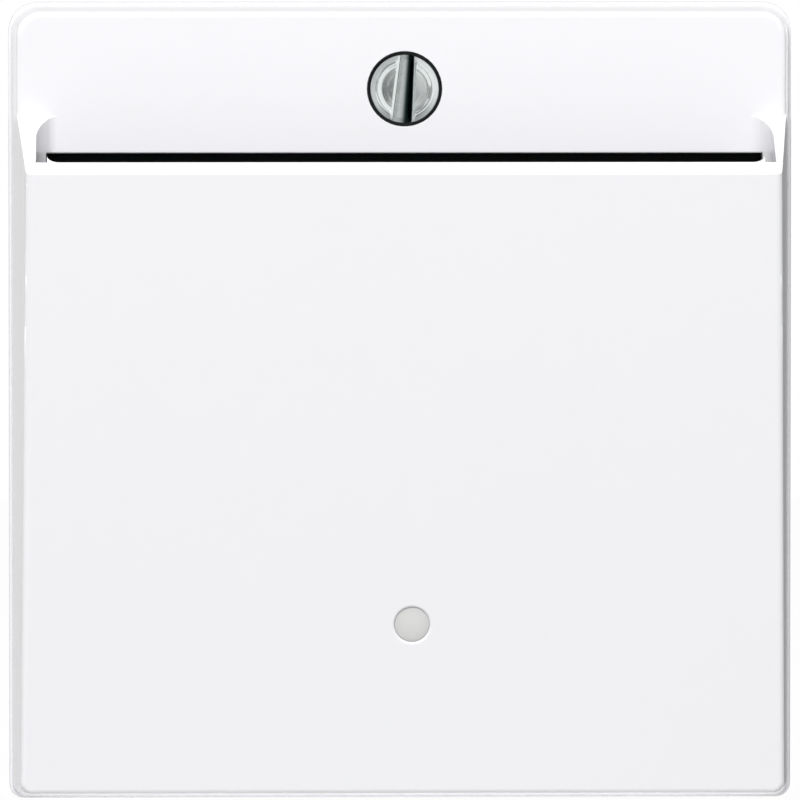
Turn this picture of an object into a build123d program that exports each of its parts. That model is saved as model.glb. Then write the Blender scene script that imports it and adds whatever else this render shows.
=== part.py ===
"""Hotel key card switch: wedge cover with a card pocket, and the flush insert behind it.

Millimetres. X runs to the right, Z up, and the front faces -Y. The wall is the plane Y = 0,
which is the rear face of the support ring. A depth is a distance in front of the wall, and
a reach is a distance behind it.
"""

import math
import os

from build123d import *

# Key card, and the cover round it, measured at its rear rim
card_width = 54.0
card_margin = 8.0
cover_width = card_width + 2 * card_margin
cover_reach = 11.65
top_corner_radius = 2.6
bottom_corner_radius = 1.3
side_draft = 5.5
cover_wall = 1.7
edge_round = 0.5
rim_rise = 0.9
rim_step = 0.18
front_facing_share = -0.5

# Rises of the front faces above the rear rim
band_rise = 7.0
lip_rise = 16.0
panel_foot_rise = 9.2
band_thickness = 2.0

# Card mouth and its scooped recess
lip_drop = 15.03
ramp_height = 4.94
mouth_height = 1.65
recess_x = 0.22
cheek_width = 2.35
pocket_margin = 3.2
recess_reach = 1.5
recess_rise = 3.3
recess_floor_round = 1.2
floor_end_round = 0.15

# Front panel
panel_thickness = 2.0
parting_gap = 0.12
rib_thickness = 1.2
rib_depth = 2.0
rib_gap = 0.3
rib_top_drop = 4.0
mouth_round = 1.1
groove_half_width = 8.0
groove_depth = 1.1
groove_top = 0.5
groove_foot = -12.5

# Indicator lens
lens_x = 0.8
lens_inset = 4.6
lens_mouth_round = 0.22
lens_radius = 1.5
lens_recess = 0.15
lens_length = 3.2
lens_flange_radius = 2.0
lens_flange_length = 0.8
lens_sleeve_wall = 1.1

# Cover screw
screw_x = 0.24
screw_drop = 7.67
screw_head_radius = 3.0
screw_head_length = 2.6
screw_proud = 0.3
screw_head_chamfer = 0.42
screw_rim_width = 0.36
screw_dish = 0.2
screw_slot_width = 1.25
screw_slot_depth = 1.2
screw_slot_turn = 4.5
screw_thread_radius = 1.5
screw_reach = 3.5
counterbore_radius = 3.35
counterbore_round = 0.25
boss_radius = 4.9
shank_clearance = 0.25
seat_clearance = 0.1
thread_clearance = 0.04

# Key card space and the card guide
card_clearance = 0.6
channel_depth = 1.25
guide_plate = 1.6
guide_margin = 0.3
guide_top_rise = 1.2
guide_tab_rise = 1.4
guide_tab_inner = 12.0
guide_tab_outer = 26.0
guide_boss_gap = 0.4
rail_width = 3.4
rail_lip = 1.6
rail_drop = 0.95
rail_lead = 3.0
stop_gap = 0.4
stop_thickness = 1.0
panel_gap = 0.4
light_sleeve_wall = 1.2
light_gap = 0.3
stake_radius = 1.0
stake_clearance = 0.12
stake_head_length = 0.7
stake_head_radius = 1.6
stake_x = 18.0
stake_inset = 1.9
ledge_height = 4.0
ledge_rise = 2.0

# Card flap and its pin
flap_half_width = 7.0
flap_pivot_depth = 3.9
flap_pivot_height = 8.5
flap_hub_radius = 1.9
flap_pin_radius = 0.75
flap_nose_reach = 0.65
flap_nose_height = -6.6
flap_foot_height = -10.4
flap_edge_round = 0.35
flap_side_gap = 0.3
flap_window_gap = 1.0
flap_window_drop = 3.1
running_clearance = 0.05
ear_thickness = 2.0
ear_rim = 0.9
pusher_depth = 3.1
pusher_height = 3.0

# Flap spring
spring_wire_radius = 0.2
spring_bore_gap = 0.3
spring_pitch = 0.55
spring_turns = 4
spring_bay_start = 3.2
spring_bay_width = 3.0
spring_bay_gap = 0.4

# Support ring
ring_inset = 0.5
ring_thickness = 1.2
ring_corner = 5.0
ring_opening_round = 6.0
box_slot_inset = 4.5
box_slot_width = 3.6
box_slot_length = 7.0
collar_wall = 1.1
collar_length = 1.3
hook_x = 11.0
hook_height = -26.6
hook_width = 5.0
hook_thickness = 1.4
hook_barb = 0.8
hook_barb_length = 1.3
hook_gap = 0.4
bead_length = 9.0
bead_width = 1.6
bead_rise = 0.4
bead_inset_x = 10.5
bead_inset_height = 6.5

# Insert base and cap
base_width = 40.0
base_height = 48.0
base_depth = 22.0
base_corner = 7.0
base_wall = 1.8
base_edge = 1.4
base_side_wall = 4.5
base_end_wall = 3.5
base_side_seat = 4.0
base_end_seat = 1.5
cap_gap = 0.3
cap_front = 1.0
cap_rear = 1.8
cap_window_half_width = 9.6
cap_window_top = 7.2
cap_window_foot = -14.0
latch_x = 8.0
latch_width = 4.0
latch_sheet = 1.1
latch_reach = 4.6
latch_barb = 0.9
latch_barb_length = 2.0
latch_gap = 0.25
partition_x = 6.0
partition_wall = 1.2
partition_top = 8.0
partition_foot = -5.0
partition_front = 7.0
rivet_radius = 1.2
rivet_clearance = 0.05
rivet_head_radius = 2.0
rivet_head_length = 0.5
rivet_inset = 2.0
rivet_height = 9.0
rivet_length = 4.2

# Rocker cradle
cradle_half_width = 9.0
cradle_pivot_height = 3.6
cradle_pivot_reach = 2.2
cradle_hub_radius = 2.1
cradle_front_depth = 0.6
cradle_plate = 2.2
cradle_top = 5.2
cradle_foot = -12.6
cradle_pad_gap = 0.3
cradle_pad_foot = -11.8
trunnion_radius = 1.2
trunnion_length = 1.6
bearing_width = 2.2
bearing_rim = 1.4
bearing_gap = 0.4
finger_half_width = 1.6
finger_rise = 5.0
finger_thickness = 1.8
finger_gap = 0.15

# Contacts
strip_thickness = 0.8
leaf_thickness = 0.6
leaf_half_width = 3.0
leaf_reach = 9.0
leaf_top = 9.0
leaf_tail = 2.4
leaf_root_gap = 0.3
contact_inset = 12.1
contact_radius = 1.6
contact_length = 0.9
contact_stem_radius = 0.8
stem_clearance = 0.03
contact_opening = 2.45
strip_width = 5.3
strip_gap = 0.3
strip_post_gap = 1.6
strip_post_front = 6.0
neutral_top = -7.0
neutral_tongue_width = 2.4

# Terminals
entry_inset = 2.9
entry_pitch = 4.4
entry_width = 3.4
entry_funnel = 0.4
entry_corner = 0.6
clamp_width = 3.2
clamp_thickness = 0.45
clamp_bend = 1.2
clamp_length = 7.2
clamp_rear_gap = 1.0
clamp_reach = 3.0
key_middle = 3.0
key_clamp_gap = 1.4
key_size = 4.6
key_stand = 1.6
key_gap = 0.25
key_depth = 8.0
key_flange = 0.6
key_edge = 0.4

# Lamp
lamp_radius = 1.5
lamp_length = 6.0
lamp_rim = 0.3
lamp_nose_depth = 0.4
holder_wall = 0.7
holder_length = 5.0
holder_front = 2.0
fit_clearance = 0.1
light_rod_gap = 0.45
light_flange_radius = 2.2
light_flange_length = 0.5

# Claws and their screws
claw_base_gap = 1.2
claw_nose_reach = 2.0
claw_web_reach = 3.8
claw_fork_reach = 2.2
claw_pivot_reach = 3.2
claw_half_height = 4.6
claw_sheet = 1.0
claw_front = 1.4
claw_nose = 3.4
claw_rear = 17.6
claw_waist = 6.0
claw_tooth = 1.4
claw_tooth_length = 2.0
claw_tooth_gap = 0.9
claw_pin_radius = 0.8
claw_fork_half = 2.15
claw_screw_radius = 1.75
claw_screw_tip = 17.4
claw_screw_taper = 0.5
claw_head_radius = 2.9
claw_head_length = 2.0
claw_head_round = 0.6
claw_slot_width = 1.0
claw_slot_depth = 1.0
claw_hole_clearance = 0.08
lug_thickness = 1.2
lug_gap = 0.3
lug_half_width = 2.1
lug_reach = 5.4
lug_window = 5.0

# One overrun for every cut that passes a face
overrun = 4.0

# Places worked out from the sizes above
half_width = cover_width / 2
cover_height = base_height + 2 * cover_reach
half_height = cover_height / 2
lip_height = half_height - lip_drop
ramp_top_height = lip_height + ramp_height
floor_end_height = lip_height + mouth_height
recess_half_width = half_width - cheek_width
recess_radius = (recess_reach**2 + recess_rise**2) / (2 * recess_reach)
pocket_half_width = half_width - pocket_margin
screw_height = half_height - screw_drop
rim_depth = ring_thickness
band_depth = rim_depth + band_rise
lip_depth = rim_depth + lip_rise
foot_depth = rim_depth + panel_foot_rise
draft_slope = math.tan(math.radians(side_draft))
face_slope = (lip_depth - foot_depth) / (lip_height + half_height)
ramp_slope = (ramp_top_height - lip_height) / (lip_depth - band_depth)
panel_run = panel_thickness / math.cos(math.atan(face_slope))
card_half_width = card_width / 2 + card_clearance
guide_top_height = floor_end_height + guide_top_rise
guide_tab_height = ramp_top_height + guide_tab_rise
rail_top = lip_height - rail_drop
guide_front = band_depth - band_thickness - seat_clearance
guide_depth = guide_front - guide_plate
pocket_foot = -half_height + cover_wall + panel_foot_rise * draft_slope
ledge_top = pocket_foot + ledge_height
screw_front = band_depth + screw_proud
boss_front = screw_front - screw_head_length - seat_clearance
hole_overrun = 2 * overrun
lens_height = lens_inset - base_height / 2
stop_height = lens_height + lens_radius + lens_sleeve_wall + stop_gap + stop_thickness
ring_size = cover_width - 2 * ring_inset
ring_opening_width = base_width - 2 * base_side_seat
ring_opening_height = base_height - 2 * base_end_seat
box_screw_pitch = ring_size - 2 * box_slot_inset
bead_x = ring_size / 2 - bead_inset_x
bead_height = ring_size / 2 - bead_inset_height
base_cavity_width = base_width - 2 * base_side_wall
base_cavity_height = base_height - 2 * base_end_wall
rivet_x = base_width / 2 - rivet_inset
strip_post_end = base_cavity_height / 2 - strip_post_gap
entry_x = base_cavity_width / 2 - entry_inset
entry_top = base_cavity_height / 2 - entry_inset
entry_heights = (entry_top - entry_pitch, entry_top)
clamp_inner_x = entry_x - clamp_reach
key_width = clamp_inner_x - key_clamp_gap - key_middle
key_x = key_middle + key_width / 2
key_height = entry_top - entry_pitch / 2
cavity_rear = base_depth - base_wall
clamp_back = cavity_rear - clamp_rear_gap
clamp_front = clamp_back - clamp_length
contact_height = contact_inset - base_cavity_height / 2
leaf_foot = contact_height - leaf_tail
finger_height = contact_height + finger_rise
claw_inner_x = base_width / 2 + claw_base_gap
claw_x = claw_inner_x + claw_nose_reach
claw_web_x = claw_x + claw_web_reach
claw_fork_end = claw_x + claw_fork_reach


def panel_face(height):
    """Depth of the panel's front face at a height."""
    return lip_depth - face_slope * (lip_height - height)


def panel_rear(height):
    """Depth of the panel's rear face at a height."""
    return panel_face(height) - panel_run


lens_face = panel_face(lens_height) - lens_recess
lens_tail = lens_face - lens_length


def front_plane(depth):
    """Sketch plane parallel to the wall, seen from the front: local axes are X and Z."""
    return Plane(origin=(0, -depth, 0), x_dir=(1, 0, 0), z_dir=(0, -1, 0))


def side_plane(x=0.0):
    """Sketch plane across the part: local axes are depth and Z."""
    return Plane(origin=(x, 0, 0), x_dir=(0, -1, 0), z_dir=(-1, 0, 0))


def top_plane(height=0.0):
    """Sketch plane seen from above: local axes are X and Y."""
    return Plane.XY.offset(height)


def keep(piece, name):
    """Label a finished piece and write its file."""
    piece.part.label = name
    export_step(piece.part, f"parts/{name}.step")


def cover_section(rise, inset):
    """Rounded section of the drafted cover at a rise above its rim, drawn in by an inset."""
    shrink = rise * draft_slope + inset
    with BuildSketch(front_plane(rim_depth + rise)) as section:
        Rectangle(cover_width - 2 * shrink, cover_height - 2 * shrink)
        fillet(
            section.vertices().group_by(Axis.Y)[-1],
            radius=max(top_corner_radius - shrink / 2, edge_round),
        )
        fillet(
            section.vertices().group_by(Axis.Y)[0],
            radius=max(bottom_corner_radius - shrink / 4, edge_round),
        )
    return section.sketch


def side_outline(*points):
    """Closed face across the part from points of depth and height."""
    with BuildSketch(side_plane()) as outline:
        with BuildLine():
            Polyline(*points, close=True)
        make_face()
    return outline.sketch


def ahead_of_panel_rear(gap):
    """Face of everything ahead of the panel's rear plane, drawn back by a gap."""
    low = -half_height - overrun
    return side_outline(
        (panel_rear(half_height) - gap, half_height),
        (lip_depth + overrun, half_height),
        (lip_depth + overrun, low),
        (panel_rear(low) - gap, low),
    )


os.makedirs("parts", exist_ok=True)

# Outer form of the cover, shared by the housing and the panel
with BuildPart() as cover_form:
    loft([cover_section(0, rim_step), cover_section(lip_rise + overrun, rim_step)], ruled=True)
    cover_side = side_outline(
        (rim_depth, -half_height - overrun),
        (panel_face(-half_height - overrun), -half_height - overrun),
        (lip_depth, lip_height),
        (band_depth, ramp_top_height),
        (band_depth, half_height + overrun),
        (rim_depth, half_height + overrun),
    )
    extrude(cover_side, amount=cover_width, both=True, mode=Mode.INTERSECT)
    # Soft outer edges, while the lip and the foot of the ramp stay crisp
    front_faces = cover_form.faces().filter_by(
        lambda face: face.normal_at().Y < front_facing_share
    )
    crisp_edges = front_faces.edges().filter_by(Axis.X).filter_by_position(
        Axis.Z, lip_height - edge_round, ramp_top_height + edge_round
    )
    fillet(front_faces.edges() - crisp_edges, radius=edge_round)
    # Rim that stands a step wider than the walls
    loft([cover_section(0, 0), cover_section(rim_rise, 0)], ruled=True)

# Cover housing
with BuildPart() as cover_housing:
    add(cover_form.part)
    extrude(
        ahead_of_panel_rear(parting_gap), amount=cover_width, both=True, mode=Mode.SUBTRACT
    )
    # Scooped recess between the cheeks, with its round inner corners left standing
    with BuildSketch(top_plane(floor_end_height - overrun)) as recess:
        for side in (-1, 1):
            with BuildLine():
                wall_x = recess_x + side * recess_half_width
                wall_point = (wall_x, -band_depth - recess_rise)
                floor_point = (wall_x - side * recess_reach, -band_depth)
                RadiusArc(floor_point, wall_point, side * recess_radius)
                Line(wall_point, (wall_x, -band_depth - lip_rise))
                Line((wall_x, -band_depth - lip_rise), (recess_x, -band_depth - lip_rise))
                Line((recess_x, -band_depth - lip_rise), (recess_x, -band_depth))
                Line((recess_x, -band_depth), floor_point)
            make_face()
        floor_corners = recess.vertices().group_by(Axis.Y)[-1].sort_by(Axis.X)
        fillet((floor_corners[0], floor_corners[-1]), radius=recess_floor_round)
    extrude(amount=half_height, mode=Mode.SUBTRACT)
    # Hollow behind the band and inside the side walls
    loft(
        [cover_section(0, cover_wall), cover_section(band_rise - band_thickness, cover_wall)],
        ruled=True,
        mode=Mode.SUBTRACT,
    )
    # Card pocket, open to the front panel and to the guide behind it
    with BuildSketch(front_plane(rim_depth)):
        with Locations((recess_x, (pocket_foot + floor_end_height) / 2)):
            Rectangle(2 * pocket_half_width, floor_end_height - pocket_foot)
    extrude(amount=lip_rise, mode=Mode.SUBTRACT)
    # Round where the recess floor drops into the slot
    floor_edge = (
        cover_housing.edges()
        .filter_by(Axis.X)
        .filter_by_position(Axis.Z, floor_end_height - edge_round, floor_end_height + edge_round)
        .sort_by(Axis.Y)[0]
    )
    fillet(floor_edge, radius=floor_end_round)
    # Screw boss and counterbore
    with BuildSketch(front_plane(rim_depth + seat_clearance)):
        with Locations((screw_x, screw_height)):
            Circle(boss_radius)
    extrude(amount=band_rise - band_thickness)
    with BuildSketch(front_plane(boss_front)):
        with Locations((screw_x, screw_height)):
            Circle(counterbore_radius)
    extrude(amount=screw_head_length + overrun, mode=Mode.SUBTRACT)
    bore_mouth = cover_housing.edges().filter_by(GeomType.CIRCLE).sort_by(Axis.Y)[0]
    fillet(bore_mouth, radius=counterbore_round)
    with BuildSketch(front_plane(0)):
        with Locations((screw_x, screw_height)):
            Circle(screw_thread_radius + shank_clearance)
    extrude(amount=band_depth, mode=Mode.SUBTRACT)
    # Ledge along the foot that backs the card guide
    with BuildSketch(front_plane(guide_front + seat_clearance)):
        with Locations((recess_x, pocket_foot + ledge_height / 2)):
            Rectangle(2 * pocket_half_width, ledge_height)
    extrude(amount=ledge_rise)
    # Stakes through the guide, melted over behind it
    stake_places = [
        (side * stake_x, edge - stake_inset)
        for side in (-1, 1)
        for edge in (guide_tab_height, ledge_top)
    ]
    with BuildSketch(front_plane(guide_depth - seat_clearance)):
        with Locations(*stake_places):
            Circle(stake_radius)
    extrude(amount=guide_plate + 2 * seat_clearance + band_thickness / 2)
    with BuildSketch(front_plane(guide_depth - seat_clearance - stake_head_length)):
        with Locations(*stake_places):
            Circle(stake_head_radius)
    extrude(amount=stake_head_length)
keep(cover_housing, "cover_housing")

# Front panel
with BuildPart() as front_panel:
    add(cover_form.part)
    extrude(ahead_of_panel_rear(0), amount=cover_width, both=True, mode=Mode.INTERSECT)
    # Tongue ribs along both sides, inside the housing's walls
    rib_top = lip_height - rib_top_drop
    rib_side = side_outline(
        (panel_rear(rib_top) + parting_gap, rib_top),
        (panel_rear(rib_top - rib_depth) - rib_depth, rib_top - rib_depth),
        (panel_rear(ledge_top + rib_depth) - rib_depth, ledge_top + rib_depth),
        (panel_rear(ledge_top) + parting_gap, ledge_top),
    )
    for side in (-1, 1):
        rib_x = recess_x + side * (pocket_half_width - rib_gap - rib_thickness / 2)
        extrude(Pos(rib_x, 0, 0) * rib_side, amount=rib_thickness / 2, both=True)
    # Corners that round the ends of the card mouth, up to the lip's slope
    lean = Vector(0, -face_slope, 1)
    corner_y = -panel_rear(rib_top - rib_depth)
    for side in (-1, 1):
        corner_x = recess_x + side * (pocket_half_width - parting_gap)
        with BuildSketch(top_plane(rib_top - rib_depth)):
            with BuildLine():
                Line((corner_x, corner_y), (corner_x - side * mouth_round, corner_y))
                RadiusArc(
                    (corner_x - side * mouth_round, corner_y),
                    (corner_x, corner_y + mouth_round),
                    -side * mouth_round,
                )
                Line((corner_x, corner_y + mouth_round), (corner_x, corner_y))
            make_face()
        extrude(amount=rib_top_drop + 2 * rib_depth, dir=lean)
    above_slope = side_outline(
        (lip_depth + overrun, lip_height - overrun * ramp_slope),
        (lip_depth + overrun, half_height),
        (band_depth, half_height),
        (band_depth, ramp_top_height),
    )
    extrude(above_slope, amount=cover_width, both=True, mode=Mode.SUBTRACT)
    # Groove behind the panel that clears the flap's nose
    groove_side = side_outline(
        (panel_rear(groove_top) - rib_depth, groove_top),
        (panel_rear(groove_top), groove_top),
        (panel_rear(groove_top - groove_depth) + groove_depth, groove_top - groove_depth),
        (panel_rear(groove_foot + groove_depth) + groove_depth, groove_foot + groove_depth),
        (panel_rear(groove_foot), groove_foot),
        (panel_rear(groove_foot) - rib_depth, groove_foot),
    )
    extrude(groove_side, amount=groove_half_width, both=True, mode=Mode.SUBTRACT)
    # Sleeve and hole of the lens
    with BuildSketch(front_plane(lens_tail + lens_flange_length)):
        with Locations((lens_x, lens_height)):
            Circle(lens_radius + lens_sleeve_wall)
    extrude(amount=lens_length - lens_flange_length - panel_thickness / 2)
    with BuildSketch(front_plane(lens_tail)):
        with Locations((lens_x, lens_height)):
            Circle(lens_radius + running_clearance)
    extrude(amount=lens_length + overrun, mode=Mode.SUBTRACT)
    # Soft mouth of the hole, in the leaning face
    lens_mouth = front_panel.edges().filter_by(GeomType.ELLIPSE).sort_by(Axis.Y)[0]
    fillet(lens_mouth, radius=lens_mouth_round)
keep(front_panel, "front_panel")

# Indicator lens, flush with the leaning face and set back a little
with BuildPart() as indicator_lens:
    with BuildSketch(front_plane(lens_tail)):
        with Locations((lens_x, lens_height)):
            Circle(lens_radius)
    extrude(amount=lens_length + lens_radius)
    with BuildSketch(front_plane(lens_tail)):
        with Locations((lens_x, lens_height)):
            Circle(lens_flange_radius)
    extrude(amount=lens_flange_length - running_clearance)
    above = lens_height + overrun
    below = lens_height - overrun
    ahead_of_lens = side_outline(
        (panel_face(above) - lens_recess, above),
        (lens_face + overrun, above),
        (lens_face + overrun, below),
        (panel_face(below) - lens_recess, below),
    )
    extrude(ahead_of_lens, amount=overrun, both=True, mode=Mode.SUBTRACT)
keep(indicator_lens, "indicator_lens")

# Light guide rod, from the lamp to the lens
with BuildPart() as light_guide:
    rod_tail = lamp_nose_depth + light_rod_gap
    with BuildSketch(front_plane(rod_tail)):
        with Locations((lens_x, lens_height)):
            Circle(lens_radius)
    extrude(amount=lens_tail - light_gap - rod_tail)
    flange_front = guide_depth - seat_clearance
    with BuildSketch(front_plane(flange_front - light_flange_length)):
        with Locations((lens_x, lens_height)):
            Circle(light_flange_radius)
    extrude(amount=light_flange_length)
keep(light_guide, "light_guide")

# Cover screw, with a bright rim round its dished head
with BuildPart() as cover_screw:
    head_seat = boss_front + seat_clearance
    rim_outer = screw_head_radius - screw_head_chamfer
    rim_inner = rim_outer - screw_rim_width
    with BuildSketch(side_plane()):
        with BuildLine():
            Polyline(
                (-screw_reach, 0),
                (-screw_reach, screw_thread_radius - screw_head_chamfer),
                (-screw_reach + screw_head_chamfer, screw_thread_radius),
                (head_seat, screw_thread_radius),
                (head_seat, screw_head_radius),
                (screw_front - screw_head_chamfer, screw_head_radius),
                (screw_front, rim_outer),
                (screw_front, rim_inner),
                (screw_front - screw_dish, rim_inner - screw_dish),
                (screw_front - screw_dish, 0),
                close=True,
            )
        make_face()
    revolve(axis=Axis((0, 0, 0), (0, 1, 0)))
    with BuildSketch(front_plane(screw_front - screw_slot_depth)):
        Rectangle(screw_slot_width, 2 * screw_head_radius + overrun, rotation=-screw_slot_turn)
    extrude(amount=overrun, mode=Mode.SUBTRACT)
cover_screw.part = Pos(screw_x, 0, screw_height) * cover_screw.part
keep(cover_screw, "cover_screw")

# Card guide: dark rear wall of the pocket, with rails, stop shelf, hooks and the flap's ears
with BuildPart() as card_guide:
    guide_foot = -half_height + cover_wall + (guide_front - rim_depth) * draft_slope + guide_margin
    guide_half = half_width - cover_wall - (guide_front - rim_depth) * draft_slope - guide_margin
    window_top = flap_pivot_height + flap_hub_radius + flap_side_gap
    window_foot = flap_foot_height - flap_window_drop
    window_half = flap_half_width + flap_window_gap
    with BuildSketch(front_plane(guide_depth)):
        with Locations((0, (guide_foot + guide_top_height) / 2)):
            RectangleRounded(2 * guide_half, guide_top_height - guide_foot, edge_round)
        tab_width = guide_tab_outer - guide_tab_inner
        tab_height = guide_tab_height - floor_end_height
        for side in (-1, 1):
            with Locations((side * (guide_tab_inner + tab_width / 2), guide_tab_height - tab_height / 2)):
                Rectangle(tab_width, tab_height)
        with Locations((screw_x, screw_height)):
            Circle(boss_radius + guide_boss_gap, mode=Mode.SUBTRACT)
        with Locations((0, (window_top + window_foot) / 2)):
            Rectangle(2 * window_half, window_top - window_foot, mode=Mode.SUBTRACT)
        with Locations(*stake_places):
            Circle(stake_radius + stake_clearance, mode=Mode.SUBTRACT)
    extrude(amount=guide_plate)
    # Rails that lean with the panel, with a lead-in at the mouth
    stop_foot = stop_height - stop_thickness
    rail_side = side_outline(
        (guide_front - guide_plate / 2, stop_foot),
        (panel_rear(stop_foot) - channel_depth, stop_foot),
        (panel_rear(rail_top - rail_lead) - channel_depth, rail_top - rail_lead),
        (panel_rear(rail_top) - channel_depth - rail_lead / 2, rail_top),
        (guide_front - guide_plate / 2, rail_top),
    )
    lip_side = side_outline(
        (guide_front - guide_plate / 2, stop_foot),
        (panel_rear(stop_foot) - panel_gap, stop_foot),
        (panel_rear(rail_top) - panel_gap, rail_top),
        (guide_front - guide_plate / 2, rail_top),
    )
    for side in (-1, 1):
        rail_x = side * (card_half_width + rail_lip - rail_width / 2)
        extrude(Pos(rail_x, 0, 0) * rail_side, amount=rail_width / 2, both=True)
        lip_x = side * (card_half_width + rail_lip / 2)
        extrude(Pos(lip_x, 0, 0) * lip_side, amount=rail_lip / 2, both=True)
    # Shelf that stops the card above the light guide
    shelf_side = side_outline(
        (guide_front - guide_plate / 2, stop_foot),
        (panel_rear(stop_foot) - panel_gap, stop_foot),
        (panel_rear(stop_height) - panel_gap, stop_height),
        (guide_front - guide_plate / 2, stop_height),
    )
    extrude(shelf_side, amount=card_half_width + rail_lip / 2, both=True)
    # Sleeve of the light guide
    with BuildSketch(front_plane(guide_depth)):
        with Locations((lens_x, lens_height)):
            Circle(lens_radius + light_sleeve_wall)
    extrude(amount=lens_tail - light_gap - guide_depth)
    with BuildSketch(front_plane(0)):
        with Locations((lens_x, lens_height)):
            Circle(lens_radius + fit_clearance)
    extrude(amount=lens_tail, mode=Mode.SUBTRACT)
    # Ears that carry the flap's pin
    ear_radius = flap_pin_radius + ear_rim
    ear_middle = flap_half_width + flap_side_gap + ear_thickness / 2
    with BuildSketch(side_plane()) as ear_side:
        with Locations((flap_pivot_depth, flap_pivot_height)):
            Circle(ear_radius)
        with Locations(((flap_pivot_depth + guide_front) / 2, flap_pivot_height)):
            Rectangle(guide_front - flap_pivot_depth, 2 * ear_radius)
    for side in (-1, 1):
        ear_face = Pos(side * ear_middle, 0, 0) * ear_side.sketch
        extrude(ear_face, amount=ear_thickness / 2, both=True)
    with BuildSketch(side_plane()):
        with Locations((flap_pivot_depth, flap_pivot_height)):
            Circle(flap_pin_radius + stem_clearance)
    extrude(amount=ear_middle + ear_thickness, both=True, mode=Mode.SUBTRACT)
    # Hooks that catch behind the support ring
    hook_side = side_outline(
        (guide_depth + guide_plate / 2, hook_height + hook_thickness / 2),
        (-hook_gap - hook_barb_length, hook_height + hook_thickness / 2),
        (-hook_gap - hook_barb_length, hook_height - hook_thickness / 2),
        (-hook_gap, hook_height - hook_thickness / 2 - hook_barb),
        (-hook_gap, hook_height - hook_thickness / 2),
        (guide_depth + guide_plate / 2, hook_height - hook_thickness / 2),
    )
    for side in (-1, 1):
        extrude(Pos(side * hook_x, 0, 0) * hook_side, amount=hook_width / 2, both=True)
keep(card_guide, "card_guide")

# Card flap: curved lever that the card pushes back
flap_nose_depth = panel_rear(flap_nose_height) + flap_nose_reach
flap_reach = flap_nose_depth - flap_pivot_depth
flap_drop = flap_pivot_height - flap_foot_height
pusher_share = (pusher_depth - flap_pivot_depth) / flap_reach
flap_outline_shares = (
    (0.196, -0.048),
    (0.541, 0.280),
    (0.942, 0.704),
    (1.0, 0.799),
    (0.885, 0.894),
    (0.242, 1.0),
    (pusher_share, 1.0),
    (pusher_share, 1.0 - pusher_height / flap_drop),
    (0.173, 0.810),
    (0.495, 0.714),
    (0.288, 0.365),
    (-0.173, 0.058),
)
with BuildPart() as card_flap:
    with BuildSketch(side_plane()) as flap_side:
        with BuildLine():
            Polyline(
                *[
                    (
                        flap_pivot_depth + depth_share * flap_reach,
                        flap_pivot_height - drop_share * flap_drop,
                    )
                    for depth_share, drop_share in flap_outline_shares
                ],
                close=True,
            )
        make_face()
        fillet(flap_side.vertices(), radius=flap_edge_round)
        with Locations((flap_pivot_depth, flap_pivot_height)):
            Circle(flap_hub_radius)
    extrude(amount=flap_half_width, both=True)
    # Bay for the spring, and the pin's bore
    bay_foot = flap_pivot_height - flap_hub_radius - spring_bay_gap
    with BuildSketch(front_plane(0)):
        with Locations((spring_bay_start + spring_bay_width / 2, bay_foot + flap_hub_radius + overrun / 2)):
            Rectangle(spring_bay_width, 2 * flap_hub_radius + overrun)
    extrude(amount=lip_depth, mode=Mode.SUBTRACT)
    with BuildSketch(side_plane()):
        with Locations((flap_pivot_depth, flap_pivot_height)):
            Circle(flap_pin_radius + running_clearance)
    extrude(amount=flap_half_width + overrun, both=True, mode=Mode.SUBTRACT)
keep(card_flap, "card_flap")

# Flap pin
with BuildPart() as flap_pin:
    with BuildSketch(side_plane()):
        with Locations((flap_pivot_depth, flap_pivot_height)):
            Circle(flap_pin_radius)
    extrude(amount=ear_middle + ear_thickness / 2, both=True)
keep(flap_pin, "flap_pin")

# Flap spring: coil round the pin
spring_mean_radius = flap_pin_radius + spring_bore_gap + spring_wire_radius
with BuildPart() as flap_spring:
    spring_start = (
        spring_bay_start + (spring_bay_width - spring_turns * spring_pitch) / 2,
        -flap_pivot_depth,
        flap_pivot_height,
    )
    with BuildLine() as coil_line:
        Helix(
            pitch=spring_pitch,
            height=spring_pitch * spring_turns,
            radius=spring_mean_radius,
            center=spring_start,
            direction=(1, 0, 0),
        )
    coil = coil_line.line
    with BuildSketch(Plane(origin=coil @ 0, z_dir=coil % 0)):
        Circle(spring_wire_radius)
    sweep(path=coil, is_frenet=True)
keep(flap_spring, "flap_spring")

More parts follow.
